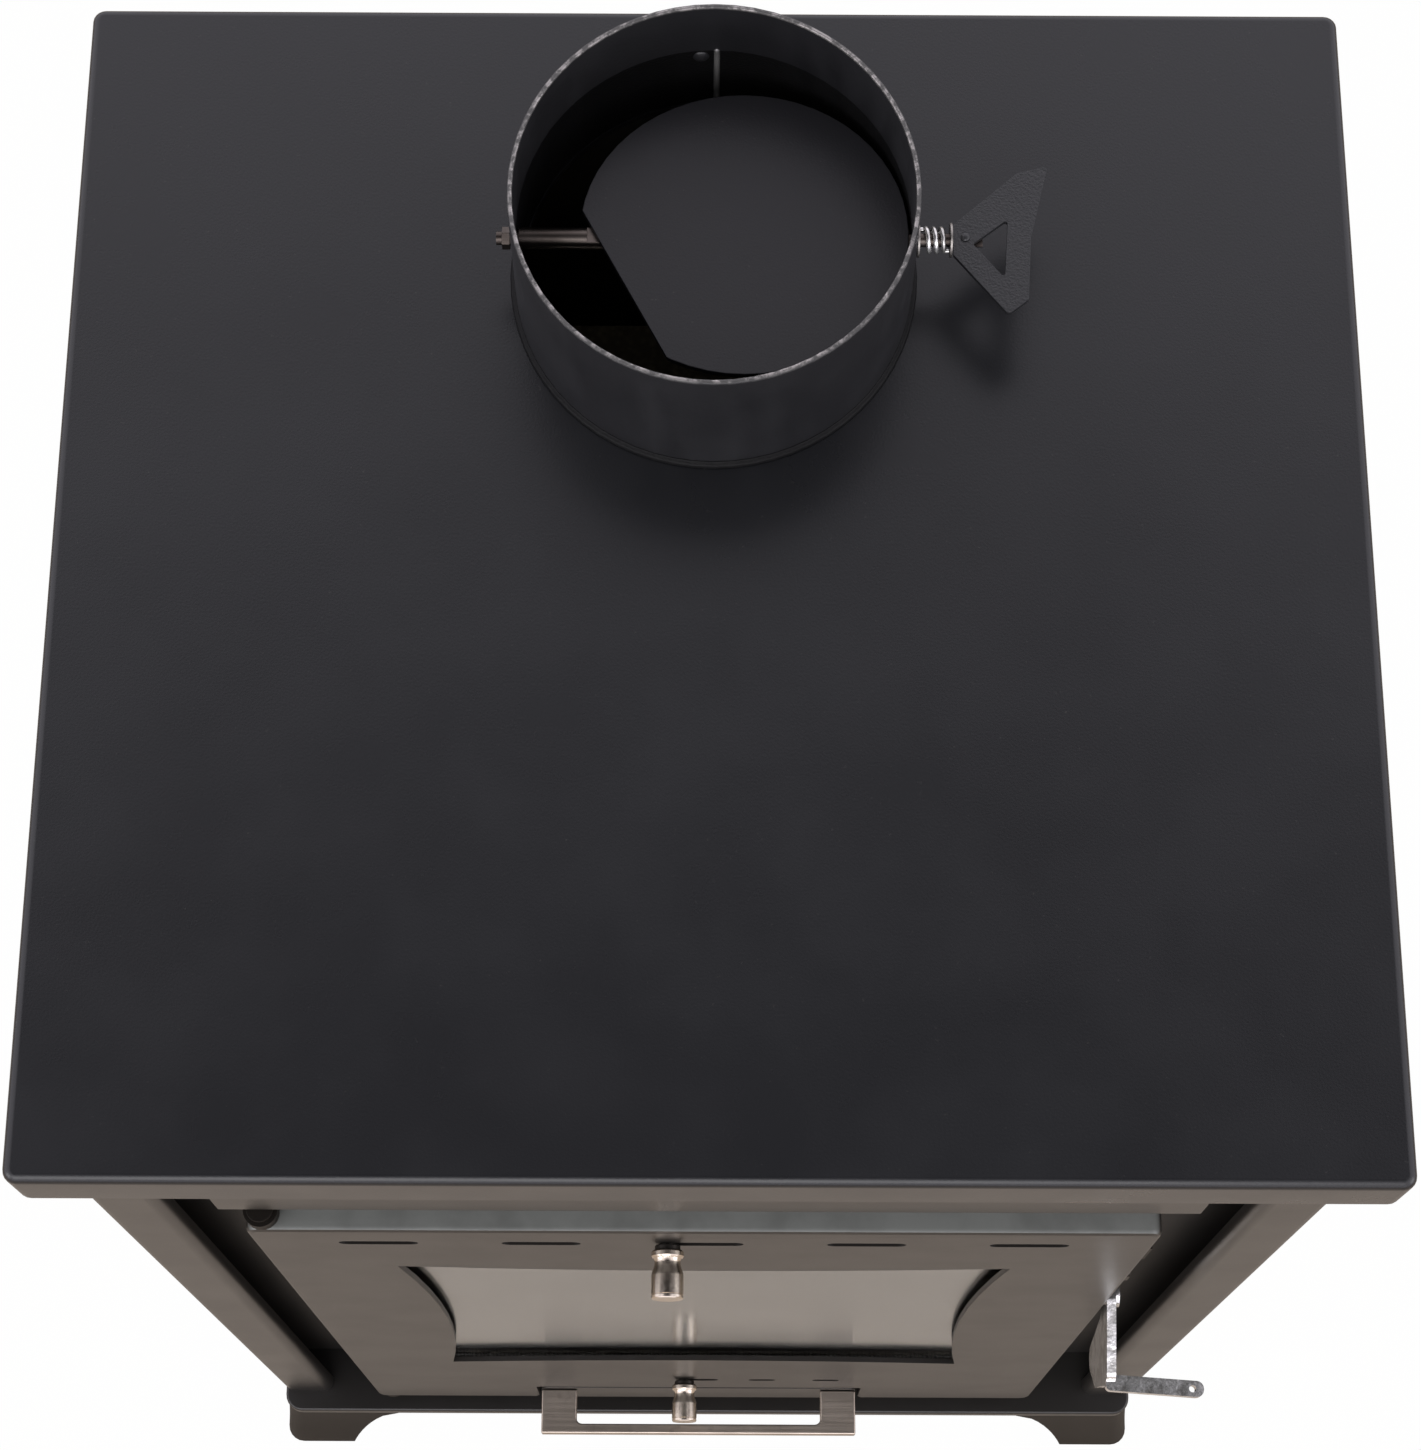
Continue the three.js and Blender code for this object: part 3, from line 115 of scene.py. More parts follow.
def blend_colours(tree, factor, first, second):
    """One colour, or the output that carries it, passing into another."""
    mix = tree.nodes.new("ShaderNodeMix")
    mix.data_type = "RGBA"
    tree.links.new(factor, mix.inputs["Factor"])
    for key, colour in (("A", first), ("B", second)):
        socket = next(s for s in mix.inputs if s.name == key and s.type == "RGBA")
        if isinstance(colour, tuple):
            socket.default_value = (*colour, 1)
        else:
            tree.links.new(colour, socket)
    return next(s for s in mix.outputs if s.type == "RGBA")


def raise_grain(tree, shader, height, strength, depth):
    """Small relief that the mesh doesn't carry."""
    bump = tree.nodes.new("ShaderNodeBump")
    bump.inputs["Strength"].default_value = strength
    bump.inputs["Distance"].default_value = depth
    tree.links.new(height, bump.inputs["Height"])
    tree.links.new(bump.outputs["Normal"], shader.inputs["Normal"])


DUST = (0.15, 0.14, 0.13)
# A pale grey for upward ledges: settled dust and painted light together.
LEDGE_DUST_AND_LIGHT = (0.26, 0.265, 0.255)
LEDGE_FADE = 0.002
PEBBLE_DEPTH = 0.0004


def heat_paint(name, dark, light, roughness, grain, gloss=0.5, dust=0.3, ledge=None, rub=0.015):
    """Sprayed heat-proof paint, with broad clouds, fine pebble, rubbed patches and settled specks.

    Where a ledge height is given, what faces up above it is lightened towards a pale grey: settled
    dust, and painted light on those upward faces."""
    material, tree, shader = new_material(name)
    vector = object_coordinates(tree)
    cloud = between(tree, speckle(tree, vector, 6, 4), 0.3, 0.7)
    tone = blend_colours(tree, cloud, dark, light)
    specks = between(tree, speckle(tree, vector, 520, 4, 0.7), 0.66, 0.74, 0, dust)
    tone = blend_colours(tree, specks, tone, DUST)
    # Upward faces above the ledge are lightened: partly settled dust, partly painted light on those
    # faces.
    if ledge:
        facing = tree.nodes.new("ShaderNodeSeparateXYZ")
        surface = tree.nodes.new("ShaderNodeNewGeometry")
        tree.links.new(surface.outputs["Normal"], facing.inputs[0])
        upward_share = between(tree, facing.outputs["Z"], 0.35, 0.95, 0, 0.75)
        above = between(tree, along_axis(tree, "Z"), ledge, ledge + LEDGE_FADE)
        patches = between(tree, speckle(tree, vector, 60, 4), 0.25, 0.65, 0.75, 1.0)
        dust_and_light = both(tree, both(tree, upward_share, above), patches)
        tone = blend_colours(tree, dust_and_light, tone, LEDGE_DUST_AND_LIGHT)
    tree.links.new(tone, shader.inputs["Base Color"])
    worn = speckle(tree, vector, 24, 5)
    rubbed = between(tree, worn, 0.3, 0.7, roughness - rub, roughness + rub)
    tree.links.new(rubbed, shader.inputs["Roughness"])
    shader.inputs["Specular IOR Level"].default_value = gloss
    raise_grain(tree, shader, speckle(tree, vector, 1100, 2), grain, PEBBLE_DEPTH)
    return material


def take(piece):
    """Leaves only this piece selected and active."""
    bpy.ops.object.select_all(action="DESELECT")
    piece.select_set(True)
    bpy.context.view_layer.objects.active = piece


def apply_modifier(piece, kind, **settings):
    """Puts a modifier on a piece and applies it."""
    take(piece)
    modifier = piece.modifiers.new(kind.lower(), kind)
    for key, value in settings.items():
        setattr(modifier, key, value)
    bpy.ops.object.modifier_apply(modifier=modifier.name)


def smooth(piece, angle=35):
    """Smooth folds and rounds, with true flats between them."""
    take(piece)
    bpy.ops.object.shade_smooth_by_angle(angle=math.radians(angle))
    apply_modifier(piece, "WEIGHTED_NORMAL", keep_sharp=True)


MERGE_DISTANCE = 1e-6


def merged_copy(node, name, eased=0.0, rounds=2):
    """A CAD node's shape as one joined mesh, its sharp edges eased by that much."""
    piece = bpy.data.objects.new(name, nodes[node].data.copy())
    bpy.context.scene.collection.objects.link(piece)
    take(piece)
    bpy.ops.mesh.customdata_custom_splitnormals_clear()
    bpy.ops.object.mode_set(mode="EDIT")
    bpy.ops.mesh.select_all(action="SELECT")
    bpy.ops.mesh.remove_doubles(threshold=MERGE_DISTANCE)
    bpy.ops.mesh.mark_sharp(clear=True)
    bpy.ops.mesh.dissolve_limited(angle_limit=math.radians(0.3))
    bpy.ops.object.mode_set(mode="OBJECT")
    if eased:
        apply_modifier(piece, "BEVEL", width=eased, segments=rounds, limit_method="ANGLE",
                       angle_limit=math.radians(30))
    smooth(piece)
    return piece


def fit(piece, material, body, slot, *stands_for):
    """Finishes a piece, joins it to its body and hides the CAD nodes it stands for."""
    piece.data.materials.clear()
    piece.data.materials.append(material)
    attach(piece, body)
    if stands_for:
        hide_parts(*stands_for)
    return piece


def dress(node, name, eased, material, body, slot, rounds=2):
    """Shows a CAD node as an eased copy of itself, in one finish."""
    return fit(merged_copy(node, name, eased, rounds), material, body, slot, node)


def coat(material, *names):
    """Puts one finish on CAD nodes that are shown as they are."""
    for name in names:
        for material_slot in nodes[name].material_slots:
            material_slot.material = material


SHEET_EDGE = 0.0004

plate_paint = heat_paint("plate_paint", (0.0070, 0.0072, 0.0088), (0.0100, 0.0103, 0.0122),
                         roughness=0.29, grain=0.08, dust=0.16, rub=0.02)
casing_paint = heat_paint("casing_paint", (0.0120, 0.0105, 0.0095), (0.0175, 0.0155, 0.0140),
                          roughness=0.33, grain=0.12)
dress("top_plate", "top_plate_sheet", 0, plate_paint, "casing", "black_paint")
for panel in ("side_panel_left", "side_panel_right", "header_strip", "base_plinth"):
    dress(panel, panel + "_sheet", SHEET_EDGE, casing_paint, "casing", "black_paint")
coat(casing_paint, "back_panel")

# ---------- Back panel screws ----------
# Zinc-plated pan-head screws with a slot. Those at the sides seat on the side panels' rear flanges,
# and those between on the back panel, at its head and foot.

# Cells of noise to the metre, few along the scratches and many across them.
STRETCH = {"x": (12, 900, 900), "z": (900, 900, 12)}
SCRATCH_DEPTH = 0.0001


def bare_metal(name, dark, light, roughness, along, scratch=0.5, grime=None, metallic=1.0):
    """Metal with fine scratches that run along one axis, and dull patches where it is handled."""
    material, tree, shader = new_material(name)
    lines = speckle(tree, object_coordinates(tree, STRETCH[along]), 1, 3, 0.6)
    patches = between(tree, speckle(tree, object_coordinates(tree), 55, 4), 0.3, 0.7)
    tone = blend_colours(tree, patches, dark, light)
    if grime:
        smears = speckle(tree, object_coordinates(tree), 120, 5, 0.65)
        tone = blend_colours(tree, between(tree, smears, 0.56, 0.72, 0, 0.5), tone, grime)
    tree.links.new(tone, shader.inputs["Base Color"])
    shader.inputs["Metallic"].default_value = metallic
    worn = between(tree, lines, 0.3, 0.7, roughness - 0.04, roughness + 0.05)
    tree.links.new(worn, shader.inputs["Roughness"])
    raise_grain(tree, shader, lines, scratch, SCRATCH_DEPTH)
    return material


def aim(piece, place, direction):
    """Turns a piece's +Z to a direction and moves it to its place, and applies both."""
    take(piece)
    piece.rotation_mode = "QUATERNION"
    piece.rotation_quaternion = Vector((0, 0, 1)).rotation_difference(Vector(direction))
    piece.location = place
    bpy.ops.object.transform_apply(location=True, rotation=True, scale=True)


def turned(name, place, direction, profile, sides=48):
    """A turned piece: a disc extruded and resized through stations of (distance, radius)."""
    start, radius = profile[0]
    bpy.ops.object.select_all(action="DESELECT")
    bpy.ops.mesh.primitive_circle_add(vertices=sides, radius=radius, fill_type="NGON",
                                      location=(0, 0, start))
    piece = bpy.context.active_object
    piece.name = name
    bpy.ops.object.transform_apply(location=True, rotation=True, scale=True)
    bpy.ops.object.mode_set(mode="EDIT")
    bpy.ops.mesh.select_all(action="SELECT")
    for (z0, r0), (z1, r1) in zip(profile, profile[1:]):
        bpy.ops.mesh.extrude_region_move(TRANSFORM_OT_translate={"value": (0, 0, z1 - z0)})
        bpy.ops.transform.resize(value=(r1 / r0, r1 / r0, 1), center_override=(0, 0, z1))
    bpy.ops.mesh.select_all(action="SELECT")
    bpy.ops.mesh.normals_make_consistent(inside=False)
    bpy.ops.object.mode_set(mode="OBJECT")
    aim(piece, place, direction)
    return piece


# Stations from the thread's tip to the top of the head, in shares of the head's radius.
PAN_HEAD = [(-2.0, 0.42), (-0.02, 0.45), (0.0, 0.96), (0.08, 1.0), (0.38, 0.98), (0.56, 0.86),
            (0.66, 0.62), (0.70, 0.3)]
SLOT_MIDDLE = 0.66
SLOT_SIZE = (3.0, 0.24, 0.6)


def pan_screw(name, place, direction, radius):
    """A slotted pan-head screw, its head seated on the sheet at that place."""
    profile = [(distance * radius, share * radius) for distance, share in PAN_HEAD]
    screw = turned(name, (0, 0, 0), (0, 0, 1), profile, sides=24)
    bpy.ops.object.select_all(action="DESELECT")
    bpy.ops.mesh.primitive_cube_add(size=1, location=(0, 0, SLOT_MIDDLE * radius))
    slot = bpy.context.active_object
    slot.scale = [share * radius for share in SLOT_SIZE]
    bpy.ops.object.transform_apply(location=True, rotation=True, scale=True)
    apply_modifier(screw, "BOOLEAN", operation="DIFFERENCE", object=slot, solver="EXACT")
    bpy.data.objects.remove(slot)
    aim(screw, place, direction)
    smooth(screw)
    return screw


BACK_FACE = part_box("back_panel")[1][1]
FLANGE_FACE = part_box("side_panel_left")[1][1]
SCREW_SEAT = 0.0001
BACK_SCREW_RADIUS = 0.0036
FLANGE_X = 0.2205
BETWEEN_X = 0.0735
BACK_SCREW_Z = (0.0880, 0.2530, 0.4180, 0.5830, 0.7200)

plated_screw = bare_metal("plated_screw", (0.42, 0.41, 0.38), (0.56, 0.55, 0.52),
                          roughness=0.35, along="z")
back_places = []
for x in (-FLANGE_X, -BETWEEN_X, BETWEEN_X, FLANGE_X):
    on_flange = abs(x) == FLANGE_X
    seat_y = (FLANGE_FACE if on_flange else BACK_FACE) + SCREW_SEAT
    rows = BACK_SCREW_Z if on_flange else (BACK_SCREW_Z[0], BACK_SCREW_Z[-1])
    back_places += [(x, seat_y, z) for z in rows]
for number, place in enumerate(back_places):
    screw = pan_screw(f"back_screw_{number}", place, (0, 1, 0), BACK_SCREW_RADIUS)
    fit(screw, plated_screw, "casing", "bare_steel")

# ---------- Feet and their bolts ----------
# Pressed brackets with a flared skirt, in a duller coat of the casing's paint, painted darker and
# browner as the shade under the stove. Each is held up to the plinth by one plated bolt.

FOOT_EDGE = 0.0006
FINE_EDGE = 0.0003

# Darker and browner than the casing: painted shade near the floor. The hinges below take it too.
foot_shade_paint = heat_paint("foot_shade_paint", (0.0068, 0.0050, 0.0036), (0.0112, 0.0085, 0.0062),
                        roughness=0.52, grain=0.3, gloss=0.16)
for corner in ("front_left", "front_right", "rear_left", "rear_right"):
    foot, bolt = "foot_" + corner, "foot_bolt_" + corner
    dress(foot, foot + "_pressing", FOOT_EDGE, foot_shade_paint, "casing", "black_paint")
    dress(bolt, bolt + "_head", FINE_EDGE, plated_screw, "casing", "bare_steel")

# ---------- Firebox: front plate, shell, hearth, grate, linings, baffle, log guard ----------
# Thicker plate under dull soot, cast grate and guard, and pressed vermiculite boards. The boards
# stand on the hearth, and the baffle lies on them.

soot_paint = heat_paint("soot_paint", (0.010, 0.009, 0.008), (0.018, 0.016, 0.014),
                        roughness=0.6, grain=0.3, gloss=0.3)
coat(soot_paint, "firebox_front", "firebox_shell", "hearth_plate")


def cast_surface(name):
    """Sand-cast iron: grey-black, pitted, rubbed brighter on its high spots."""
    material, tree, shader = new_material(name)
    sand = speckle(tree, object_coordinates(tree), 380, 6, 0.65)
    high_spots = between(tree, sand, 0.35, 0.7)
    tone = blend_colours(tree, high_spots, (0.020, 0.018, 0.016), (0.075, 0.070, 0.064))
    tree.links.new(tone, shader.inputs["Base Color"])
    shader.inputs["Metallic"].default_value = 0.6
    tree.links.new(between(tree, sand, 0.3, 0.7, 0.75, 0.5), shader.inputs["Roughness"])
    raise_grain(tree, shader, sand, 0.5, 0.0008)
    return material


def vermiculite_board(name):
    """Pressed golden flakes with darker specks and smoke stains."""
    material, tree, shader = new_material(name)
    vector = object_coordinates(tree)
    cells = tree.nodes.new("ShaderNodeTexVoronoi")
    cells.inputs["Scale"].default_value = 330
    tree.links.new(vector, cells.inputs["Vector"])
    grains = between(tree, cells.outputs["Distance"], 0.1, 0.6)
    flakes = blend_colours(tree, grains, (0.62, 0.50, 0.31), (0.40, 0.30, 0.18))
    smoke = between(tree, speckle(tree, vector, 9, 5), 0.42, 0.66, 0, 0.75)
    stained = blend_colours(tree, smoke, flakes, (0.055, 0.048, 0.040))
    tree.links.new(stained, shader.inputs["Base Color"])
    shader.inputs["Roughness"].default_value = 0.9
    raise_grain(tree, shader, cells.outputs["Distance"], 0.5, 0.0006)
    return material


GRATE_EDGE = 0.0008
GUARD_EDGE = 0.0010
BOARD_EDGE = 0.0012

cast_iron = cast_surface("cast_surface")
board = vermiculite_board("vermiculite_board")
for casting, edge in (("grate", GRATE_EDGE), ("log_guard", GUARD_EDGE)):
    dress(casting, casting + "_casting", edge, cast_iron, "casing", "cast_iron")
for lining in ("lining_right", "lining_left", "lining_rear", "baffle_plate"):
    dress(lining, lining + "_board", BOARD_EDGE, board, "casing", "vermiculite")

# ---------- Door: folded shell and its inner channel ----------
# A pan of sheet steel with bent edges and a waisted window, and the folded channel behind it that
# holds the door rope. Both are sprayed; the channel has gone dull from the fire.

# The pan's upward faces above this line get dust and painted light.
LEDGE_DEPTH = 0.004
LEDGE_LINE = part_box("door_shell")[1][2] - LEDGE_DEPTH

door_paint = heat_paint("door_paint", (0.0122, 0.0103, 0.0090), (0.0162, 0.0139, 0.0122),
                        roughness=0.36, grain=0.08, ledge=LEDGE_LINE)
dress("door_shell", "door_pan", FINE_EDGE, door_paint, "door", "black_paint")
dress("rope_channel", "door_rope_channel", FINE_EDGE, soot_paint, "door", "recess_paint")

# ---------- Door glass, its frame and the two seals ----------
# Clear ceramic glass on a flat fibre seal, clamped by a plated steel frame with small screws, and
# the knitted rope that the door closes on.

frame_steel = bare_metal("frame_steel", (0.30, 0.28, 0.26), (0.42, 0.40, 0.37),
                         roughness=0.42, along="x")
dress("glass_frame", "glass_clamp_frame", FINE_EDGE, frame_steel, "door", "bare_steel")


def fire_glass(name):
    """Ceramic glass under a breath of smoke, which greys it and softens what it mirrors."""
    material, tree, shader = new_material(name)
    haze = speckle(tree, object_coordinates(tree), 14, 4)
    shader.inputs["Base Color"].default_value = (0.76, 0.74, 0.70, 1)
    shader.inputs["Transmission Weight"].default_value = 1
    shader.inputs["IOR"].default_value = 1.40
    tree.links.new(between(tree, haze, 0.3, 0.7, 0.10, 0.15), shader.inputs["Roughness"])
    return material


coat(fire_glass("fire_glass"), "door_glass")


def fibre_rope(name, dark, light):
    """Knitted glass-fibre: two crossing sets of slanted stitches with stray fibres."""
    material, tree, shader = new_material(name)
    heights = []
    for turn in (math.radians(45), math.radians(-45)):
        wave = tree.nodes.new("ShaderNodeTexWave")
        wave.bands_direction = "X"
        wave.inputs["Scale"].default_value = 110
        wave.inputs["Distortion"].default_value = 1.2
        wave.inputs["Detail Scale"].default_value = 2
        tree.links.new(object_coordinates(tree, turn=(0, turn, 0)), wave.inputs["Vector"])
        heights.append(wave.outputs["Fac"])
    stitches = both(tree, heights[0], heights[1], "MAXIMUM")
    fibres = speckle(tree, object_coordinates(tree), 900, 3)
    weave = both(tree, stitches, fibres)
    tone = blend_colours(tree, between(tree, weave, 0.15, 0.6), dark, light)
    tree.links.new(tone, shader.inputs["Base Color"])
    shader.inputs["Roughness"].default_value = 0.95
    raise_grain(tree, shader, weave, 0.9, 0.0012)
    return material


seal_fibre = fibre_rope("seal_fibre", (0.030, 0.028, 0.027), (0.110, 0.104, 0.098))
rope_fibre = fibre_rope("rope_fibre", (0.035, 0.034, 0.033), (0.170, 0.165, 0.158))


def rope_ring(name, low, high, corner, radius):
    """A rope laid round a rounded rectangle: its centre line, given a round section."""
    middle = (low + high) / 2
    bpy.ops.object.select_all(action="DESELECT")
    bpy.ops.mesh.primitive_plane_add(size=1, location=middle, rotation=(math.pi / 2, 0, 0))
    rope = bpy.context.active_object
    rope.name = name
    rope.scale = (high.x - low.x, high.z - low.z, 1)
    bpy.ops.object.transform_apply(location=True, rotation=True, scale=True)
    bpy.ops.object.mode_set(mode="EDIT")
    bpy.ops.mesh.select_all(action="SELECT")
    bpy.ops.mesh.delete(type="ONLY_FACE")
    bpy.ops.mesh.select_all(action="SELECT")
    bpy.ops.mesh.bevel(affect="VERTICES", offset=corner, segments=10)
    bpy.ops.object.mode_set(mode="OBJECT")
    bpy.ops.object.convert(target="CURVE")
    rope.data.bevel_depth = radius
    rope.data.bevel_resolution = 6
    bpy.ops.object.convert(target="MESH")
    bpy.ops.object.mode_set(mode="EDIT")
    bpy.ops.mesh.select_all(action="SELECT")
    bpy.ops.mesh.remove_doubles(threshold=MERGE_DISTANCE)
    bpy.ops.mesh.normals_make_consistent(inside=False)
    bpy.ops.object.mode_set(mode="OBJECT")
    smooth(rope, angle=60)
    return rope


ROPE_RADIUS = 0.0047
ROPE_CORNER = 0.018
rope_low, rope_high = (Vector(corner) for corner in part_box("door_rope"))
rope_inset = Vector((ROPE_RADIUS, ROPE_RADIUS, ROPE_RADIUS))
rope = rope_ring("door_rope_knit", rope_low + rope_inset, rope_high - rope_inset,
                 ROPE_CORNER, ROPE_RADIUS)
fit(rope, rope_fibre, "door", "rope", "door_rope")
dress("glass_seal", "glass_seal_strip", FINE_EDGE, seal_fibre, "door", "rope")

FRAME_SCREW_RADIUS = 0.0030
FRAME_SCREW_SIDE = 0.004
FRAME_SCREW_END = 0.040
frame_low, frame_high = (Vector(corner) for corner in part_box("glass_frame"))
frame_screw_x = (frame_low.x + FRAME_SCREW_SIDE, frame_high.x - FRAME_SCREW_SIDE)
frame_screw_z = (frame_low.z + FRAME_SCREW_END, (frame_low.z + frame_high.z) / 2,
                 frame_high.z - FRAME_SCREW_END)
frame_places = [(x, frame_high.y + SCREW_SEAT, z) for x in frame_screw_x for z in frame_screw_z]
for number, place in enumerate(frame_places):
    screw = pan_screw(f"glass_screw_{number}", place, (0, 1, 0), FRAME_SCREW_RADIUS)
    fit(screw, plated_screw, "door", "bare_steel")

# ---------- Hinges ----------
# Two folded brackets on the firebox front, each with a turned pin through a bush and the corner of
# the door pan, all sprayed with the stove.

for side in ("top", "bottom"):
    bracket, bush, pin = (f"hinge_{part}_{side}" for part in ("bracket", "bush", "pin"))
    # The hinge parts take the feet's paint, painted darker as shade.
    dress(bracket, bracket + "_fold", SHEET_EDGE, foot_shade_paint, "casing", "black_paint")
    dress(bush, bush + "_ring", FINE_EDGE, foot_shade_paint, "door", "recess_paint")
    dress(pin, pin + "_turned", FINE_EDGE, foot_shade_paint, "casing", "bare_steel")

# ---------- Air sliders: shutters, guides and their turned knobs ----------
# Thin plated shutters behind the slots, folded guides spot-welded to the pan, and nickel-plated
# knobs turned from bar: a nut and ring at the face, a cone neck, a plain barrel, an eased end band.

THIN_EDGE = 0.0002

shutter_steel = bare_metal("shutter_steel", (0.075, 0.068, 0.062), (0.120, 0.110, 0.100),
                           roughness=0.45, along="x")
for guide in ("upper_guide", "lower_guide"):
    dress(guide, guide + "_rails", THIN_EDGE, soot_paint, "door", "recess_paint")
for row in ("upper", "lower"):
    dress(row + "_shutter", row + "_shutter_plate", THIN_EDGE, shutter_steel,
          row + "_slider", "recess_paint")

DOOR_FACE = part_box("door_shell")[0][1]
NUT_HEIGHT = 0.0027
KNOB_PROFILE = [
    (-0.0062, 0.0029), (0.0006, 0.0029), (0.00061, 0.0047), (0.0009, 0.0050), (0.0024, 0.0050),
    (0.0025, 0.0056), (0.0028, 0.0060), (0.0033, 0.00635), (0.0048, 0.00635), (0.0054, 0.0060),
    (0.0056, 0.0056), (0.0066, 0.0052), (0.0078, 0.0051), (0.0092, 0.0054), (0.0106, 0.0059),
    (0.0116, 0.0062), (0.0124, 0.00635), (0.0196, 0.00635), (0.0197, 0.0061), (0.0200, 0.0061),
    (0.0201, 0.0063), (0.0210, 0.00625), (0.0214, 0.0059), (0.0215, 0.0054), (0.0213, 0.0020)]

nickel_turned = bare_metal("nickel_turned", (0.60, 0.52, 0.43), (0.74, 0.66, 0.56),
                           roughness=0.20, along="z", scratch=0.08, grime=(0.40, 0.34, 0.28))
blacked_nut = bare_metal("blacked_nut", (0.030, 0.027, 0.024), (0.060, 0.054, 0.048),
                         roughness=0.40, along="z", scratch=0.2)
for row in ("upper", "lower"):
    knob_low, knob_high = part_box(row + "_knob")
    knob_place = ((knob_low[0] + knob_high[0]) / 2, DOOR_FACE, (knob_low[2] + knob_high[2]) / 2)
    knob = turned(row + "_knob_turned", knob_place, (0, -1, 0), KNOB_PROFILE)
    smooth(knob, angle=30)
    fit(knob, nickel_turned, row + "_slider", "nickel", row + "_knob")
    knob.data.materials.append(blacked_nut)
    for face in knob.data.polygons:
        face.material_index = 1 if face.center.y > DOOR_FACE - NUT_HEIGHT else 0

# ---------- Ash drawer: tray, runners, front and the flat U handle ----------
# A bent and welded tray of bare sheet behind a sprayed front, and a flat handle of nickel-plated
# bar, brushed along its length, with its ends welded to the front.

BAR_EDGE = 0.0008

dress("ash_tray", "ash_tray_box", FINE_EDGE, frame_steel, "ash_drawer", "bare_steel")
coat(frame_steel, "drawer_runner_left", "drawer_runner_right")
dress("ash_front", "ash_front_sheet", SHEET_EDGE, door_paint, "ash_drawer", "black_paint")
nickel_bar = bare_metal("nickel_bar", (0.52, 0.45, 0.38), (0.62, 0.54, 0.46),
                        roughness=0.34, along="x", scratch=0.12, grime=(0.36, 0.30, 0.25))
dress("ash_handle", "ash_handle_bar", BAR_EDGE, nickel_bar, "ash_drawer", "nickel", rounds=3)

# ---------- Latch: lever, pivot pin and keeper ----------
# A bright-plated lever cut from plate, its grip turned out to the side, on a headed pin in the
# door's edge. It swings to hook round the dark steel keeper on the firebox front.


def rumbled_plate(name, dark, light):
    """Bright plating over a tumbled casting: a soft uneven mirror, painted darker in its hollows as
    shade.
    """
    material, tree, shader = new_material(name)
    vector = object_coordinates(tree)
    lumps = speckle(tree, vector, 150, 3, 0.55)
    # The lumps' hollows are painted darker, as shade.
    tone = blend_colours(tree, between(tree, lumps, 0.36, 0.58), dark, light)
    tree.links.new(tone, shader.inputs["Base Color"])
    shader.inputs["Metallic"].default_value = 0.85
    haze = between(tree, speckle(tree, vector, 700, 3), 0.3, 0.7, 0.12, 0.24)
    tree.links.new(haze, shader.inputs["Roughness"])
    raise_grain(tree, shader, lumps, 0.3, 0.0013)
    return material


LEVER_EDGE = 0.0006

bright_plate = rumbled_plate("bright_plate", (0.46, 0.45, 0.43), (0.84, 0.83, 0.82))
keeper_steel = bare_metal("keeper_steel", (0.030, 0.027, 0.024), (0.060, 0.054, 0.048),
                          roughness=0.42, along="z", scratch=0.3)
dress("latch_lever", "latch_lever_plate", LEVER_EDGE, bright_plate, "latch", "bright_plate",
      rounds=3)
dress("latch_pin", "latch_pin_turned", SHEET_EDGE, bright_plate, "door", "bright_plate")
dress("latch_keeper", "latch_keeper_fold", SHEET_EDGE, keeper_steel, "casing", "bare_steel")

# ---------- Flue collar ----------
# A strip rolled to a tube that has sprung a little oval, welded up at the back and round its foot,
# and sprayed. Its rim is rubbed through to steel where the pipe goes on. Inside, its lower part is
# painted dark for soot together with painted shade, and outside a narrow band at its foot is
# painted dark as shade in the crease against the plate.

collar_low, collar_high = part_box("flue_collar")
PLATE_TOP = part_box("top_plate")[1][2]
COLLAR_RIM = collar_high[2]
COLLAR_Y = (collar_low[1] + collar_high[1]) / 2
COLLAR_OVAL = 1.03
COLLAR_INNER = 0.0722
HALF_WALL = 0.0008
SOOT_SHADE_LINE = 0.7990
FOOT_SHADE_LINE = PLATE_TOP + 0.0030
# The rim is rubbed over its last millimetre, and most on its inner edge.
RIM_FROM, RIM_TO = COLLAR_RIM - 0.0012, COLLAR_RIM - 0.0002
EDGE_FROM, EDGE_TO = COLLAR_INNER + 0.0007, COLLAR_INNER + 0.0013


def collar_finish(name):
    """The plate's paint, with a rim rubbed and chipped to steel."""
    material, tree, shader = new_material(name)
    vector = object_coordinates(tree)
    cloud = between(tree, speckle(tree, vector, 14, 4), 0.3, 0.7)
    paint = blend_colours(tree, cloud, (0.0130, 0.0128, 0.0150), (0.0190, 0.0186, 0.0210))
    near_rim = between(tree, along_axis(tree, "Z"), RIM_FROM, RIM_TO)
    chips = between(tree, speckle(tree, vector, 210, 5, 0.7), 0.44, 0.60, 0.22, 1.0)
    centred = object_coordinates(tree, (1, 1 / COLLAR_OVAL, 0),
                                 shift=(0, -COLLAR_Y / COLLAR_OVAL, 0))
    from_axis = tree.nodes.new("ShaderNodeVectorMath")
    from_axis.operation = "LENGTH"
    tree.links.new(centred, from_axis.inputs[0])
    inner_edge = between(tree, from_axis.outputs["Value"], EDGE_FROM, EDGE_TO, 1, 0.15)
    rubbed = both(tree, both(tree, near_rim, chips), inner_edge)
    tone = blend_colours(tree, rubbed, paint, (0.36, 0.34, 0.33))
    tree.links.new(tone, shader.inputs["Base Color"])
    tree.links.new(rubbed, shader.inputs["Metallic"])
    dull = between(tree, speckle(tree, vector, 40, 4), 0.3, 0.7, 0.36, 0.44)
    tree.links.new(dull, shader.inputs["Roughness"])
    raise_grain(tree, shader, speckle(tree, vector, 700, 3), 0.2, PEBBLE_DEPTH)
    return material


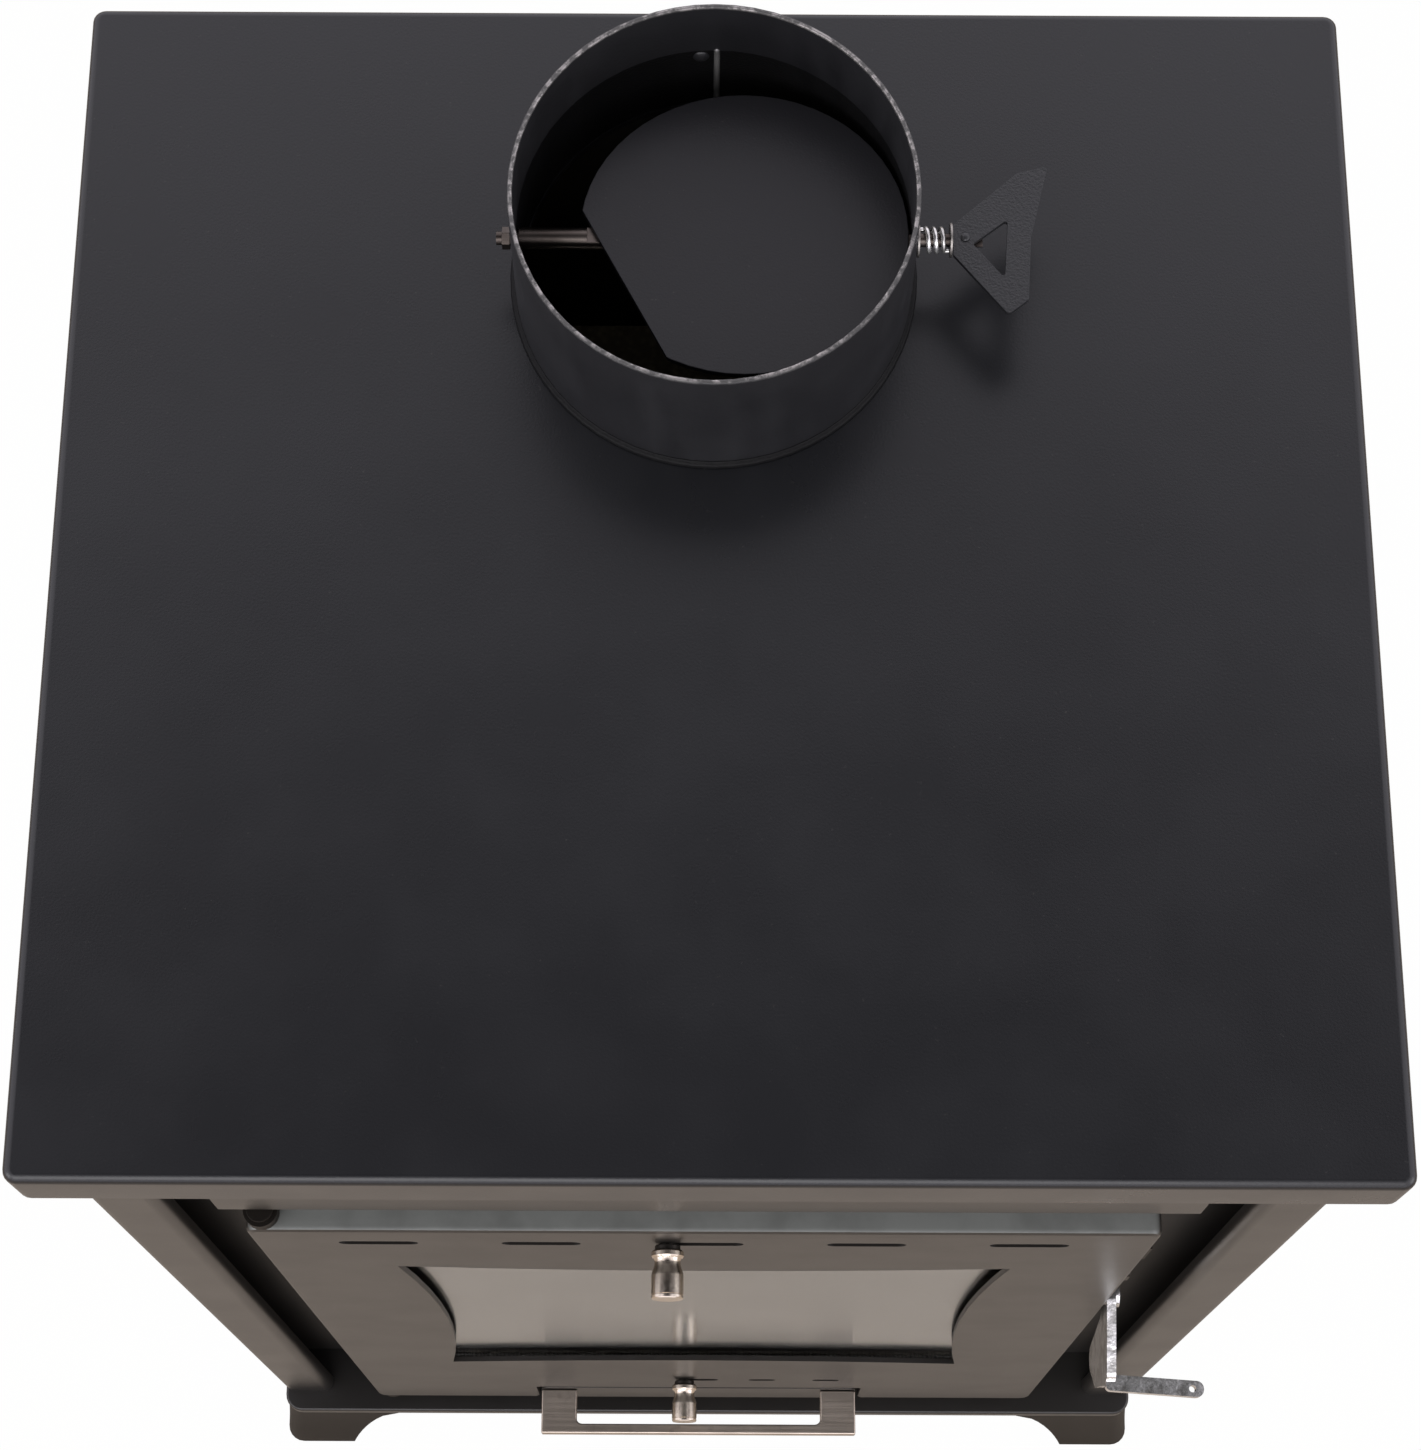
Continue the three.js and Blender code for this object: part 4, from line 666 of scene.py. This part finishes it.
collar_paint = collar_finish("collar_paint")
# Near-black for the collar's lower inside, soot with painted shade, and for its foot band, painted
# shade.
collar_soot_shade = heat_paint("collar_soot_shade", (0.0030, 0.0030, 0.0034), (0.0060, 0.0058, 0.0062),
                         roughness=0.45, grain=0.4, gloss=0.12, dust=0.1)
collar = merged_copy("flue_collar", "flue_collar_tube", SHEET_EDGE)
take(collar)
for line in (SOOT_SHADE_LINE, FOOT_SHADE_LINE):
    bpy.ops.object.mode_set(mode="EDIT")
    bpy.ops.mesh.select_all(action="SELECT")
    bpy.ops.mesh.bisect(plane_co=(0, 0, line), plane_no=(0, 0, 1))
    bpy.ops.object.mode_set(mode="OBJECT")
fit(collar, collar_paint, "casing", "black_paint", "flue_collar")
# Faces inside below the soot line and outside below the foot line take the dark finish: painted
# shade, with soot inside.
collar.data.materials.append(collar_soot_shade)
for face in collar.data.polygons:
    out = Vector((face.center.x, (face.center.y - COLLAR_Y) / COLLAR_OVAL)).length
    inside = out < COLLAR_INNER + HALF_WALL
    face.material_index = 1 if face.center.z < (SOOT_SHADE_LINE if inside else FOOT_SHADE_LINE) else 0

# The seam's weld: a rippled bead up the inside, with the blob where it was started.
SEAM_Y = COLLAR_Y + COLLAR_INNER * COLLAR_OVAL
SEAM_PLACE = (0.0008, SEAM_Y + 0.0002, PLATE_TOP + 0.001)
BEAD_START = (0.0, 0.0006)
BEAD_END = (0.0380, 0.0005)
RIPPLES = 41
RIPPLE_PITCH = 0.0009
CREST_RADIUS = 0.0013
VALLEY_RADIUS = 0.0010
BLOB_PLACE = (-0.0052, SEAM_Y - 0.0001, PLATE_TOP + 0.034)
BLOB_PROFILE = [(-0.0004, 0.0030), (0.0002, 0.0032), (0.0008, 0.0027), (0.0012, 0.0016),
                (0.0013, 0.0006)]

bead_profile = [BEAD_START]
for ripple in range(1, RIPPLES + 1):
    bead_profile.append((RIPPLE_PITCH * ripple, CREST_RADIUS if ripple % 2 else VALLEY_RADIUS))
bead_profile.append(BEAD_END)
weld_metal = bare_metal("weld_metal", (0.16, 0.155, 0.155), (0.30, 0.29, 0.29),
                        roughness=0.34, along="z", scratch=0.4, metallic=0.5)
seam = turned("collar_seam_bead", SEAM_PLACE, (0, 0, 1), bead_profile, sides=16)
smooth(seam, angle=60)
fit(seam, weld_metal, "casing", "bare_steel")
blob = turned("collar_seam_blob", BLOB_PLACE, (0, -1, 0), BLOB_PROFILE, sides=20)
smooth(blob, angle=60)
fit(blob, collar_paint, "casing", "black_paint")

# ---------- Damper: axle, plate, washers, spring, handle, rivet and nut ----------
# A mild-steel axle browned by heat, with a flat for the plate; bright coil spring between washers;
# a kite-shaped handle stamped from sheet and riveted through the axle's flattened end.

WASHER_EDGE = 0.0001

browned_steel = bare_metal("browned_steel", (0.060, 0.050, 0.044), (0.105, 0.090, 0.080),
                           roughness=0.34, along="x", scratch=0.3)
disc_paint = heat_paint("disc_paint", (0.0070, 0.0068, 0.0086), (0.0100, 0.0097, 0.0118),
                        roughness=0.40, grain=0.15, gloss=0.34, dust=0.2)
kite_paint = heat_paint("kite_paint", (0.0150, 0.0150, 0.0170), (0.0230, 0.0230, 0.0255),
                        roughness=0.36, grain=0.5)
dress("damper_axle", "damper_axle_rod", FINE_EDGE, browned_steel, "damper", "bare_steel")
dress("damper_disc", "damper_disc_plate", SHEET_EDGE, disc_paint, "damper", "black_paint")
dress("damper_handle", "damper_handle_stamping", SHEET_EDGE, kite_paint, "damper", "black_paint")
for washer in ("inner_washer", "outer_washer"):
    dress(washer, washer + "_ring", WASHER_EDGE, frame_steel, "damper", "bare_steel")
dress("handle_rivet", "handle_rivet_head", THIN_EDGE, kite_paint, "damper", "bare_steel")
dress("damper_nut", "damper_nut_hex", THIN_EDGE, browned_steel, "damper", "bare_steel")

# The spring: one wire, straight off each washer on a lead with eased ends, wound round the axle.
SPRING_RADIUS = 0.0043
WIRE_RADIUS = 0.0009
WIRE_SIDES = 16
WIRE_EASE = 0.0002
SPRING_TURNS = 2.5
STEPS = int(40 * SPRING_TURNS)
SPRING_LEAD = 2 * WIRE_RADIUS
LEAD_PROFILE = [(0.0, 0.8 * WIRE_RADIUS), (WIRE_EASE, WIRE_RADIUS),
                (SPRING_LEAD - WIRE_EASE, WIRE_RADIUS), (SPRING_LEAD, 0.9 * WIRE_RADIUS)]

spring_low, spring_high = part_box("damper_spring")
wound_length = spring_high[0] - spring_low[0] - 2 * SPRING_LEAD
axle_z = (spring_low[2] + spring_high[2]) / 2
bpy.ops.object.select_all(action="DESELECT")
bpy.ops.mesh.primitive_circle_add(vertices=WIRE_SIDES, radius=WIRE_RADIUS, fill_type="NOTHING")
spring = bpy.context.active_object
spring.name = "damper_spring_wire"
spring.location = (spring_low[0] + SPRING_LEAD, SPRING_RADIUS, 0)
bpy.ops.object.transform_apply(location=True, rotation=True, scale=True)
apply_modifier(spring, "SCREW", axis="X", angle=2 * math.pi * SPRING_TURNS,
               screw_offset=wound_length, steps=STEPS, render_steps=STEPS)
take(spring)
bpy.ops.object.mode_set(mode="EDIT")
bpy.ops.mesh.select_all(action="SELECT")
bpy.ops.mesh.fill_holes(sides=0)
bpy.ops.mesh.select_all(action="SELECT")
bpy.ops.mesh.normals_make_consistent(inside=False)
bpy.ops.object.mode_set(mode="OBJECT")
spring.location = (0, COLLAR_Y, axle_z)
bpy.ops.object.transform_apply(location=True, rotation=True, scale=True)
smooth(spring, angle=50)
fit(spring, bright_plate, "damper", "bright_plate", "damper_spring")
for end, x, side in (("inner", spring_low[0], 1), ("outer", spring_high[0] - SPRING_LEAD, -1)):
    lead_place = (x, COLLAR_Y + side * SPRING_RADIUS, axle_z)
    lead = turned(f"spring_lead_{end}", lead_place, (1, 0, 0), LEAD_PROFILE, WIRE_SIDES)
    smooth(lead, angle=50)
    fit(lead, bright_plate, "damper", "bright_plate")


# ---------- Studio: floor, room, lamps, camera ----------
# A pale warm floor that shows white to the camera, a pale room, and a broad soft lamp in front and
# at each side.

def scaled(tree, value, share):
    """A mask weakened to a share of itself."""
    weak = tree.nodes.new("ShaderNodeMath")
    weak.operation = "MULTIPLY"
    weak.inputs[1].default_value = share
    tree.links.new(value, weak.inputs[0])
    return weak.outputs[0]


def mix_shaders(tree, factor, first, second):
    """One shader passing into another."""
    mix = tree.nodes.new("ShaderNodeMixShader")
    tree.links.new(factor, mix.inputs["Fac"])
    tree.links.new(first, mix.inputs[1])
    tree.links.new(second, mix.inputs[2])
    return mix.outputs[0]


def plain_light(tree, kind, colour, strength=1.0):
    """An emission or background shader of one colour, its strength a number or an output."""
    glow = tree.nodes.new(kind)
    glow.inputs["Color"].default_value = (*colour, 1)
    if isinstance(strength, float):
        glow.inputs["Strength"].default_value = strength
    else:
        tree.links.new(strength, glow.inputs["Strength"])
    return glow.outputs[0]


def ray_masks(tree):
    """Where the camera looks, straight or through glass, and where a gloss looks."""
    rays = tree.nodes.new("ShaderNodeLightPath")
    seen = both(tree, rays.outputs["Is Camera Ray"], rays.outputs["Is Transmission Ray"], "MAXIMUM")
    return seen, rays.outputs["Is Glossy Ray"]


FLOOR_SIZE = 14
FLOOR_HEIGHT = -0.0005
bpy.ops.object.select_all(action="DESELECT")
bpy.ops.mesh.primitive_plane_add(size=FLOOR_SIZE, location=(0, 0, FLOOR_HEIGHT))
floor = bpy.context.active_object
floor.name = "floor"
floor_material = bpy.data.materials.new("studio_floor")
floor_material.use_nodes = True
tree = floor_material.node_tree
tree.nodes.clear()
output = tree.nodes.new("ShaderNodeOutputMaterial")
warm = tree.nodes.new("ShaderNodeBsdfDiffuse")
warm.inputs["Color"].default_value = (0.70, 0.585, 0.495, 1)
white = plain_light(tree, "ShaderNodeEmission", (1, 1, 1))
mirrored = plain_light(tree, "ShaderNodeEmission", (0.82, 0.74, 0.67), 0.7)
seen, in_gloss = ray_masks(tree)
in_mirrors = mix_shaders(tree, scaled(tree, in_gloss, 0.1), warm.outputs[0], mirrored)
surface = mix_shaders(tree, scaled(tree, seen, 0.99), in_mirrors, white)
tree.links.new(surface, output.inputs["Surface"])
floor.data.materials.append(floor_material)

# The room as the stove sees it: an even pale grey, and in its gloss a bright wall that darkens to
# the ceiling overhead. The heights are those of a view direction, where 1 is straight up.
WALL_TOP, CEILING = 0.82, 0.97
WALL_LIGHT, CEILING_LIGHT = 1.5, 0.12
world = bpy.context.scene.world or bpy.data.worlds.new("studio")
bpy.context.scene.world = world
world.use_nodes = True
tree = world.node_tree
tree.nodes.clear()
output = tree.nodes.new("ShaderNodeOutputWorld")
room = plain_light(tree, "ShaderNodeBackground", (0.55, 0.56, 0.58))
backdrop = plain_light(tree, "ShaderNodeBackground", (1, 1, 1))
direction = tree.nodes.new("ShaderNodeTexCoord")
parts = tree.nodes.new("ShaderNodeSeparateXYZ")
tree.links.new(direction.outputs["Generated"], parts.inputs[0])
height = tree.nodes.new("ShaderNodeMapRange")
tree.links.new(parts.outputs["Z"], height.inputs["Value"])
height.inputs["From Min"].default_value = WALL_TOP
height.inputs["From Max"].default_value = CEILING
height.inputs["To Min"].default_value = WALL_LIGHT
height.inputs["To Max"].default_value = CEILING_LIGHT
mirror = plain_light(tree, "ShaderNodeBackground", (0.95, 0.92, 1.0), height.outputs[0])
seen, in_gloss = ray_masks(tree)
with_mirror = mix_shaders(tree, in_gloss, room, mirror)
tree.links.new(mix_shaders(tree, seen, with_mirror, backdrop), output.inputs["Surface"])


STOVE_MIDDLE = (0, 0, 0.4)


def soft_lamp(name, place, size, power):
    """A broad rectangular lamp aimed at the middle of the stove."""
    lamp = bpy.data.objects.new(name, bpy.data.lights.new(name, "AREA"))
    lamp.data.shape = "RECTANGLE"
    lamp.data.size = size[0]
    lamp.data.size_y = size[1]
    lamp.data.energy = power
    lamp.location = place
    lamp.rotation_mode = "QUATERNION"
    lamp.rotation_quaternion = (Vector(STOVE_MIDDLE) - Vector(place)).to_track_quat("-Z", "Y")
    bpy.context.scene.collection.objects.link(lamp)


soft_lamp("lamp_front", place=(-0.4, -2.3, 2.5), size=(2.2, 1.6), power=27)
soft_lamp("lamp_left", place=(-2.6, -1.6, 1.8), size=(1.6, 1.6), power=20)
soft_lamp("lamp_right", place=(2.8, -1.2, 1.6), size=(1.6, 1.6), power=16)

# The camera, as fitted to the photograph: its place, its turn in degrees and its focal length in
# the photograph's pixels.
VIEW_PLACE = (-0.0012, -0.4074, 1.8029)
PITCH_DOWN, YAW, ROLL = 71.004, 0.118, 0.381
FOCAL_PIXELS = 3091
PHOTO_HEIGHT = 1450
SENSOR = 36

pitch, yaw, roll = (math.radians(angle) for angle in (PITCH_DOWN, YAW, ROLL))
forward = Vector((math.sin(yaw) * math.cos(pitch), math.cos(yaw) * math.cos(pitch),
                  -math.sin(pitch)))
level = Vector((math.cos(yaw), -math.sin(yaw), 0))
upward = level.cross(forward)
across = math.cos(roll) * level + math.sin(roll) * upward
upright = math.cos(roll) * upward - math.sin(roll) * level
lens = bpy.data.cameras.new("photo_view")
lens.sensor_width = SENSOR
lens.lens = SENSOR * FOCAL_PIXELS / PHOTO_HEIGHT
lens.clip_start = 0.01
photo_view = bpy.data.objects.new("photo_view", lens)
bpy.context.scene.collection.objects.link(photo_view)
view_turn = Matrix((across, upright, -forward)).transposed().to_4x4()
photo_view.matrix_world = Matrix.Translation(Vector(VIEW_PLACE)) @ view_turn
bpy.context.scene.camera = photo_view
bpy.context.scene.view_settings.view_transform = "Standard"
